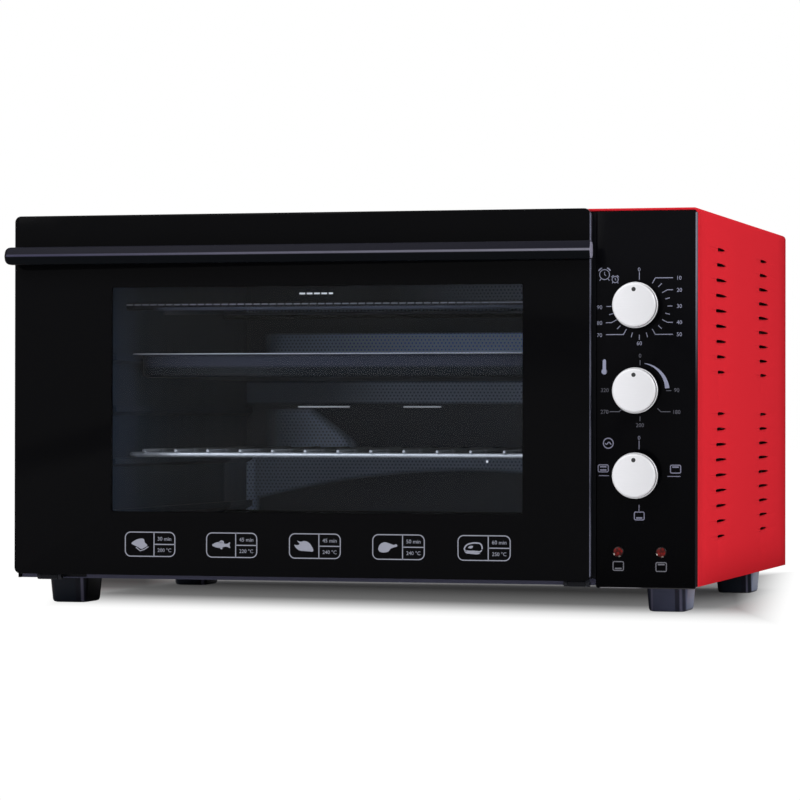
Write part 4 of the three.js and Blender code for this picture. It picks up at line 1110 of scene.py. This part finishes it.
class OVEN_OT_knobs(bpy.types.Operator):
    """Turn the three knobs and put their dark pointer dots on"""

    bl_idname = "oven.knobs"
    bl_label = "Make the knobs"

    BODIES = {"timer_knob": "timer", "thermostat_knob": "thermostat", "function_switch_knob": "function"}
    # Profiles as (radius, place behind the face) in millimetres
    DRUM = ((0, 3.6), (15.7, 3.6), (15.7, 5.25), (17.4, 5.25), (17.4, 5.6), (16.4, 5.6), (16.4, 20.7),
            (16.1, 21), (0, 21))
    DOT = ((0, -0.02), (1.55, -0.02), (1.75, 0), (1.75, 0.3), (0, 0.3))

    def execute(self, context):
        for node, body in self.BODIES.items():
            low, high = box_of(node)
            centre = centre_of(node)[FLAT]
            radius = (high[2] - low[2]) / 2 / MM
            cap = radius - 0.7
            profile = np.array([
                (0, 0), (cap - 2, 0), *arc((cap - 1.6, 1.6), 1.6, -85, 0, 6), (cap, 3.1), (cap - 0.3, 3.4),
                (15.6, 3.4), (15.6, 5.4), (radius - 0.4, 5.4), (radius, 5.8), (radius, 7.1),
                (radius - 0.3, 7.4), (0, 7.4)])
            face = np.array((0, low[1]))
            turned = lathe(profile * MM + face, centre)
            new_piece(f"{node}_cap", turned, body, "knob_silver", replaces=node, crease=30)
            drum = lathe(np.array(self.DRUM) * MM + face, centre)
            new_piece(f"{node}_drum", drum, body, "drum_plastic", crease=30)
            dot = lathe(np.array(self.DOT) * MM + face, centre + (0, 12.3 * MM), sides=32)
            new_piece(f"{node}_dot", dot, body, "knob_dot")
        return {"FINISHED"}


class OVEN_OT_dials(Print, bpy.types.Operator):
    """Print the dials, their numbers and the heating signs on the control panel"""

    bl_idname = "oven.dials"
    bl_label = "Print the dials"

    # Leader lines from the timer's ring of ticks to its numbers, in millimetres from the knob's axis
    LEADERS = np.array([((18.3, 10.6), (22.6, 12.9), (27.0, 12.9)),
                        ((10.4, 18.1), (12.9, 22.4), (27.0, 22.4))])
    ASIDE = 0.9

    def execute(self, context):
        settings = context.scene.oven.controls
        self.start(panel_low[1], settings.stroke / MM, settings.letter / MM)
        for node, dial in zip(OVEN_OT_knobs.BODIES, (self.timer, self.thermostat, self.function)):
            dial(centre_of(node)[FLAT] / MM + (self.ASIDE, 0))
        for node, top, drop in (("lamp_left", False, 11.3), ("lamp_right", True, 11.7)):
            self.sign(centre_of(node)[FLAT] / MM - (0, drop), top, not top, 8.4, 7.0)
        self.printed("dial_print", "cabinet", "dial_print", "panel_gloss")
        return {"FINISHED"}

    def words(self, origin, *places):
        for word, x, z in places:
            self.word(origin, word, x, z)

    def tick(self, origin, degrees, inner, outer):
        """A short line along the radius; its angle runs clockwise from the top."""
        turn = math.radians(degrees)
        way = np.array((math.sin(turn), math.cos(turn)))
        self.line(origin, [way * inner, way * outer])

    def timer(self, origin):
        origin = origin + (-0.6, -0.5)
        self.words(origin, ("0", -0.2, 29.2), ("10", 32.2, 22.3), ("20", 32.2, 12.7), ("30", 32.2, 0),
                   ("40", 32.2, -12.9), ("50", 32.2, -22.4), ("60", 0, -29.4), ("70", -32.2, -22.8),
                   ("80", -32.2, -13.1), ("90", -32.2, -0.6))
        self.tick(origin, 0, 21.2, 27.0)
        for sign in ((1, 1), (1, -1), (-1, -1)):
            for leader in self.LEADERS:
                self.line(origin, leader * sign)
        for degrees in (90, 180, 270):
            self.tick(origin, degrees, 22.6, 26.6)
        for degrees in range(45, 270, 30):
            self.tick(origin, degrees, 21.6, 25.4)
        self.alarm(origin + (-28.2, 25.4), 1.0)
        self.alarm(origin + (-19.6, 21.4), 0.62)

    def alarm(self, origin, size):
        """An alarm clock: dial, hands, two bells and two feet."""
        self.line(origin, arc((0, 0), 4.0 * size, 0, 345, 23), 0.6, closed=True)
        self.line(origin, np.array([(0, 2.2), (0, 0), (1.2, -0.9)]) * size, 0.5)
        for sign in (-1, 1):
            self.line(origin, arc((0, 0), 5.6 * size, 90 - sign * 22, 90 - sign * 58, 5), 1.0 * size)
            self.line(origin, np.array([(2.7 * sign, -3.2), (4.0 * sign, -4.9)]) * size, 0.6)

    def thermostat(self, origin):
        self.words(origin, ("0", 0, 27.7), ("90", 29.5, 0.4), ("180", 29.7, -16.9), ("200", 0, -27.4),
                   ("270", -28.7, -16.8), ("320", -28.5, 0.4))
        for degrees, inner, outer in ((0, 20.2, 24.2), (90, 21.0, 25.2), (180, 20.6, 24.2)):
            self.tick(origin, degrees, inner, outer)
        for sign in (1, -1):
            self.line(origin, np.array([(14.2, -14.1), (16.8, -16.7), (24.6, -16.7)]) * (sign, 1))
        way = arc((0, 0), 1, 80.5, 5, 15)
        inner, outer = [way * np.linspace(*ends, 16)[:, None] for ends in ((21.7, 20.2), (22.1, 23.8))]
        self.fill(origin, np.concatenate([outer, inner[::-1]]))
        bulb = np.concatenate([arc((0, -4.0), 2.3, 126, 414, 20), arc((0, 4.4), 1.35, 0, 180, 8)])
        self.fill(origin + (-28.9, 19.2), bulb)

    def sign(self, origin, top, bottom, width, height):
        """A heating sign: a rounded frame with a thick bar where the rods glow."""
        corner = np.array((width, height)) / 2
        self.line(origin, rounded_rectangle(-corner, corner, 1.1, 4), 0.8, closed=True)
        for on, z in ((top, height / 2 - 1.5), (bottom, 1.5 - height / 2)):
            if on:
                self.line(origin, [(1.5 - width / 2, z), (width / 2 - 1.5, z)], 1.2)

    def function(self, origin):
        self.words(origin, ("0", -0.7, 29.8))
        self.tick(origin - (0.7, 0), 0, 20.8, 27.6)
        legend = origin + (-25.6, 25.4)
        self.line(legend, arc((0, 0), 4.0, 0, 345, 23), 0.85, closed=True)
        turn = np.linspace(-math.pi, math.pi * 1.5, 13)
        self.line(legend, np.stack([np.linspace(-2.5, 2.5, 13), 0.9 * np.sin(turn)], axis=1), 0.8)
        self.sign(origin + (-29.7, 5.4), True, True, 8.2, 5.6)
        self.line(origin, [(-33.2, -0.4), (-25.0, -0.4)])
        self.sign(origin + (28.7, 5.1), True, False, 8.2, 6.2)
        self.line(origin, [(22.2, -0.7), (32.6, -0.7)])
        self.sign(origin + (-0.5, -32.2), False, True, 7.9, 6.2)
        self.tick(origin - (0.7, 0), 180, 23.4, 28.4)


class OVEN_OT_signs(Print, bpy.types.Operator):
    """Print the row of cooking signs along the foot of the door"""

    bl_idname = "oven.signs"
    bl_label = "Print the cooking signs"

    # Places in millimetres: a sign's frame, and the middles of the frames from the wrapper's
    CORNER = np.array((21.5, 9.9))
    CENTRES = (-167.9, -97.5, -26.7, 43.6, 114.6)
    RISE = 29.0
    WORDS = (("30 min", "200 °C"), ("45 min", "220 °C"), ("45 min", "240 °C"), ("50 min", "240 °C"),
             ("60 min", "250 °C"))
    # Each food is one or more closed curves
    TOAST = (((-7.6, 0.6), (-3.4, 3.6), (1.4, 4.8), (4.2, 4.4), (4.4, 1.4), (7.6, -1.0), (4.2, -3.0),
              (1.6, -4.2), (-1.6, -2.2), (-4.6, -1.0)),)
    TOAST_EDGE = ((-3.0, -2.6), (0.6, -5.4), (4.0, -4.4), (7.8, -2.0))
    FISH = (((-8.4, -0.2), (-4.6, 2.2), (0.2, 2.6), (4.6, 0.5), (8.2, 2.9), (7.2, 0), (8.4, -2.8),
             (4.6, -0.9), (0, -2.4), (-4.6, -2.0)),
            ((-2.4, 2.2), (0.2, 4.0), (2.4, 3.4), (2.8, 1.6)), ((-1.6, -2.0), (0.6, -3.9), (1.8, -2.0)))
    BIRD = (((-4.4, -3.8), (-7.6, -0.6), (-8.4, 1.2), (-5.6, 0.4), (-3.2, 1.6), (-6.6, 4.8), (-3.0, 3.2),
             (0.6, 4.4), (4.6, 2.8), (7.6, -1.6), (8.2, -4.6), (3.0, -4.2)),)
    LEG = (((-8.0, -1.8), (-6.4, 2.4), (-2.2, 4.2), (2.4, 2.6), (5.6, 1.6), (7.4, 2.6), (8.4, 1.2),
            (7.6, 0.2), (5.4, -0.2), (2.6, -1.2), (0.8, -4.0), (-3.6, -4.6), (-6.6, -4.0)),)
    STEAK = (((-7.6, -2.4), (-3.6, -3.4), (1.4, -3.2), (6.6, -4.0), (4.0, -5.2), (-1.0, -4.8), (-5.6, -4.4)),
             ((-4.6, 0), (-2.2, 2.0), (0.8, 1.4), (-1.2, -0.6)))
    STEAK_EDGE = ((-7.8, -1.6), (-5.4, 2.6), (0.2, 4.2), (6.2, 3.8), (8.0, 0.4), (6.8, -3.2), (1.4, -2.6),
                  (-3.8, -2.8))
    STEAK_ROUNDS = (2.2, 2.2, 2.6, 1.6, 1.8, 2.0, 2.0, 2.0)

    def execute(self, context):
        self.start(door_low[1], 0.8, 3.1)
        middle = np.array(((shell_low[0] + shell_high[0]) / 2, shell_low[2])) / MM
        foods = (self.TOAST, self.FISH, self.BIRD, self.LEG, self.STEAK)
        for x, words, food in zip(self.CENTRES, self.WORDS, foods):
            origin = middle + (x, self.RISE)
            self.frame_lines(origin, words)
            origin = origin - (9.2, 0)
            if food is self.STEAK:
                self.line(origin, filleted(self.STEAK_EDGE, self.STEAK_ROUNDS, 5), 1.1, closed=True)
            for corners in food:
                self.fill(origin, self.rounded(corners))
            if food is self.TOAST:
                self.line(origin, self.TOAST_EDGE)
        self.printed("sign_print", "door", "door_print", "door_glass")
        return {"FINISHED"}

    def rounded(self, corners):
        """A closed curve through the given points, rounded at each over almost half of its shorter edge."""
        edges = np.linalg.norm(np.roll(corners, -1, 0) - corners, axis=1)
        return filleted(corners, np.minimum(edges, np.roll(edges, 1)) * 0.48, 5)

    def frame_lines(self, origin, words):
        width, height = self.CORNER
        divide = width * 0.16
        self.line(origin, rounded_rectangle(-self.CORNER, self.CORNER, 4.6, 6), closed=True)
        self.line(origin, [(divide, -height), (divide, height)])
        self.line(origin, [(divide, 0), (width, 0)])
        for word, z in zip(words, (4.6, -4.7)):
            self.word(origin, word, (divide + width) / 2, z)


class OVEN_OT_cavity(bpy.types.Operator):
    """Make the rack, the tray and the heating rods behind the window"""

    bl_idname = "oven.cavity"
    bl_label = "Make the things in the cavity"

    def execute(self, context):
        self.rack(context.scene.oven.cavity)
        self.tray()
        for node in ("upper_heater_front", "upper_heater_rear", "lower_heater_front", "lower_heater_rear"):
            self.heater(node)
        return {"FINISHED"}

    def rack(self, settings):
        """A rail bent into a rounded rectangle, with straight cross wires laid on it."""
        low, high = box_of("wire_rack")
        rail, wire, overhang, margin = 2.25 * MM, 1.5 * MM, 2 * MM, 16.6 * MM
        inset = np.array((rail, rail + overhang))
        outline = rounded_rectangle(low[:2] + inset, high[:2] - inset, 9 * MM, 8)
        parts = [level_loop(np.column_stack([outline, np.full(len(outline), low[2] + rail)]), rail)]
        profile = [(0, low[1]), (wire * 0.7, low[1]), (wire, low[1] + wire * 0.5),
                   (wire, high[1] - wire * 0.5), (wire * 0.7, high[1]), (0, high[1])]
        for x in np.linspace(low[0] + margin, high[0] - margin, settings.rack_wires):
            parts.append(lathe(profile, (x, high[2] - wire), sides=14))
        new_piece("rack_wires", joined(parts), "rack", "chrome", replaces="wire_rack")

    def tray(self):
        """A pressed tray: rings of one rounded outline that step in and down by quarter circles."""
        low, high = box_of("baking_tray")
        rim, wall, bend = 6.4 * MM, 1 * MM, 3 * MM
        top, bottom = high[2], low[2]
        turn = np.radians(np.linspace(0, 90, 6))
        rise, run = bend * (1 - np.cos(turn)), bend * (1 - np.sin(turn))
        inside = [(0, top - wall), (0, top - wall * 0.3), (0.3 * MM, top), *zip(rim - run + wall, top - rise),
                  *zip(rim + wall + rise, bottom + wall + run)]
        outside = [*zip((rim + rise)[::-1], (bottom + run)[::-1]),
                   *zip((rim - run)[::-1], (top - wall - rise)[::-1])]
        rings = stacked(inset_rings(low, high, TRAY_CORNER * MM, 8, inside + outside), "z")
        floor = len(inside) - 1
        pan = grid(rings, wrap_rows=True, cut_rows=(floor,), lids=(floor, floor + 1))
        new_piece("tray_pan", pan, "tray", "enamel", replaces="baking_tray", crease=50)

    def heater(self, node):
        """A sheathed rod whose ends step down to thin pins where they leave the cavity."""
        low, high = box_of(node)
        radius, shank, pin = (high[2] - low[2]) / 2, 8 * MM, 1.6 * MM
        half = [(0, 0), (pin, 0), (pin, shank), (radius * 0.9, shank), (radius, shank + 0.4 * MM)]
        rod = [(r, low[0] + x) for r, x in half] + [(r, high[0] - x) for r, x in half[::-1]]
        new_piece(f"{node}_rod", lathe(rod, centre_of(node)[[1, 2]], "x", 24), "cabinet", "heater_steel",
                  replaces=node, crease=50)


class OVEN_OT_stage(bpy.types.Operator):
    """Lay the floor, set the lamps and the sky, and place the camera"""

    bl_idname = "oven.stage"
    bl_label = "Set the stage"

    FLOOR_HALF = 14.0
    CAMERA = np.array((783.1, -2925.5, 153.6)) * MM
    YAW, PITCH, ROLL = 0.2654, 0.00567, 0.0016
    LENS = 156.85

    def execute(self, context):
        settings = context.scene.oven.stage
        self.floor(settings.floor)
        self.sky(settings.ambient)
        self.lamp("key", (-1.2, -2.2, 1.9), (0, 0, 0.15), 1.8, settings.key)
        self.lamp("side", (2.6, -0.9, 1.2), (0.2, 0.1, 0.15), 1.4, settings.key * 0.8)
        self.lamp("top", (0.2, 0.3, 2.4), (0, 0, 0.2), 1.6, settings.key * 0.4)
        self.camera()
        context.scene.view_settings.view_transform = "Standard"
        return {"FINISHED"}

    def pale_floor(self, recipe, pale):
        """A pale floor that the eye sees white, with a dark contact shade under and behind the oven."""
        x, y, _ = recipe.axes
        matt = recipe.diffuse(recipe.mixed(recipe.noise(3.0), pale, darker(pale, 0.985)))
        white = recipe.node("ShaderNodeEmission", sockets={"Color": (1.0, 1.0, 1.0), "Strength": 1.02})
        eye = recipe.node("ShaderNodeLightPath", output="Is Camera Ray")
        forward = x * -0.14 - y
        ahead = forward.ramp(-0.015, 0.305, 0.03, 1.0, smooth=True)
        ahead = ahead.larger(forward.ramp(-0.15, 0.06, 0.03, 0.15))
        corner = (x + y * 0.36).ramp(-0.2, -0.245) * y.ramp(0.0, 0.09)
        shade = recipe.diffuse(recipe.mixed(corner, darker(pale, 0.3), darker(pale, 0.05)))
        beside = (x + y * 0.14).ramp(0.272, 0.332, smooth=True)
        beyond = (x + y * 0.36).ramp(-0.285, -0.34, smooth=True)
        away = ahead.larger(beside, beyond, y.ramp(0.42, 0.62, smooth=True))
        return recipe.blend(eye, matt, recipe.blend(away, shade, white))

    def floor(self, pale):
        corners = np.array([(-1, -1, 0), (1, -1, 0), (1, 1, 0), (-1, 1, 0)]) * self.FLOOR_HALF
        mesh = bpy.data.meshes.new("floor")
        mesh.from_pydata(corners.tolist(), [], [[0, 1, 2, 3]])
        mesh.materials.append(painted("floor", self.pale_floor, pale))
        new_object("floor", mesh)

    def sky(self, ambient):
        """An even sky: full for the eye, through panes and in mirrors, weaker as light."""
        world = bpy.data.worlds.new("studio")
        recipe = Recipe(world)
        rays = [recipe.node("ShaderNodeLightPath", output=f"Is {kind} Ray")
                for kind in ("Camera", "Transmission", "Glossy")]
        strength = rays[0].larger(*rays[1:]).ramp(0.0, 1.0, ambient, 1.0)
        light = recipe.node("ShaderNodeBackground", sockets={"Color": (1.0, 1.0, 1.0), "Strength": strength})
        recipe.node("ShaderNodeOutputWorld", sockets={"Surface": light})
        bpy.context.scene.world = world

    def lamp(self, name, place, target, size, power):
        light = bpy.data.lights.new(name, "AREA")
        light.energy = power
        light.size = size
        holder = new_object(name, light)
        holder.location = place
        holder.rotation_mode = "QUATERNION"
        holder.rotation_quaternion = (Vector(place) - Vector(target)).to_track_quat("Z", "Y")

    def camera(self):
        data = bpy.data.cameras.new("camera")
        data.lens = self.LENS
        data.sensor_width = 36
        data.clip_end = 100
        holder = new_object("camera", data)
        level = Vector((math.cos(self.YAW), math.sin(self.YAW), 0))
        ahead = Vector((-level.y, level.x, 0)) * math.cos(self.PITCH) + Vector((0, 0, math.sin(self.PITCH)))
        upright = level.cross(ahead)
        right = level * math.cos(self.ROLL) + upright * math.sin(self.ROLL)
        up = upright * math.cos(self.ROLL) - level * math.sin(self.ROLL)
        turn = Matrix((right, up, -ahead)).transposed()
        holder.matrix_world = Matrix.Translation(self.CAMERA) @ turn.to_4x4()
        bpy.context.scene.camera = holder


class OVEN_PT_pieces(bpy.types.Panel):
    """Lists the pieces and their settings"""

    bl_idname = "OVEN_PT_pieces"
    bl_label = "Oven"
    bl_space_type = "VIEW_3D"
    bl_region_type = "UI"
    bl_category = "Oven"

    def draw(self, context):
        oven = context.scene.oven
        for group in (oven.cabinet, oven.door, oven.controls, oven.cavity, oven.stage):
            column = self.layout.column()
            for name in group.__annotations__:
                column.prop(group, name)
        for operator in OPERATORS:
            self.layout.operator(operator.bl_idname)


OPERATORS = (
    OVEN_OT_finishes, OVEN_OT_wrapper, OVEN_OT_cabinet, OVEN_OT_door, OVEN_OT_panel, OVEN_OT_knobs,
    OVEN_OT_dials, OVEN_OT_signs, OVEN_OT_cavity, OVEN_OT_stage,
)
CLASSES = (
    CabinetSettings, DoorSettings, ControlSettings, CavitySettings, StageSettings, OvenSettings,
    *OPERATORS, OVEN_PT_pieces,
)


def register():
    for one in CLASSES:
        bpy.utils.register_class(one)
    bpy.types.Scene.oven = PointerProperty(type=OvenSettings)


def unregister():
    del bpy.types.Scene.oven
    for one in reversed(CLASSES):
        bpy.utils.unregister_class(one)


def main():
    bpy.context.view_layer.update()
    register()
    for operator in OPERATORS:
        family, name = operator.bl_idname.split(".")
        getattr(getattr(bpy.ops, family), name)()


if __name__ == "__main__":
    main()
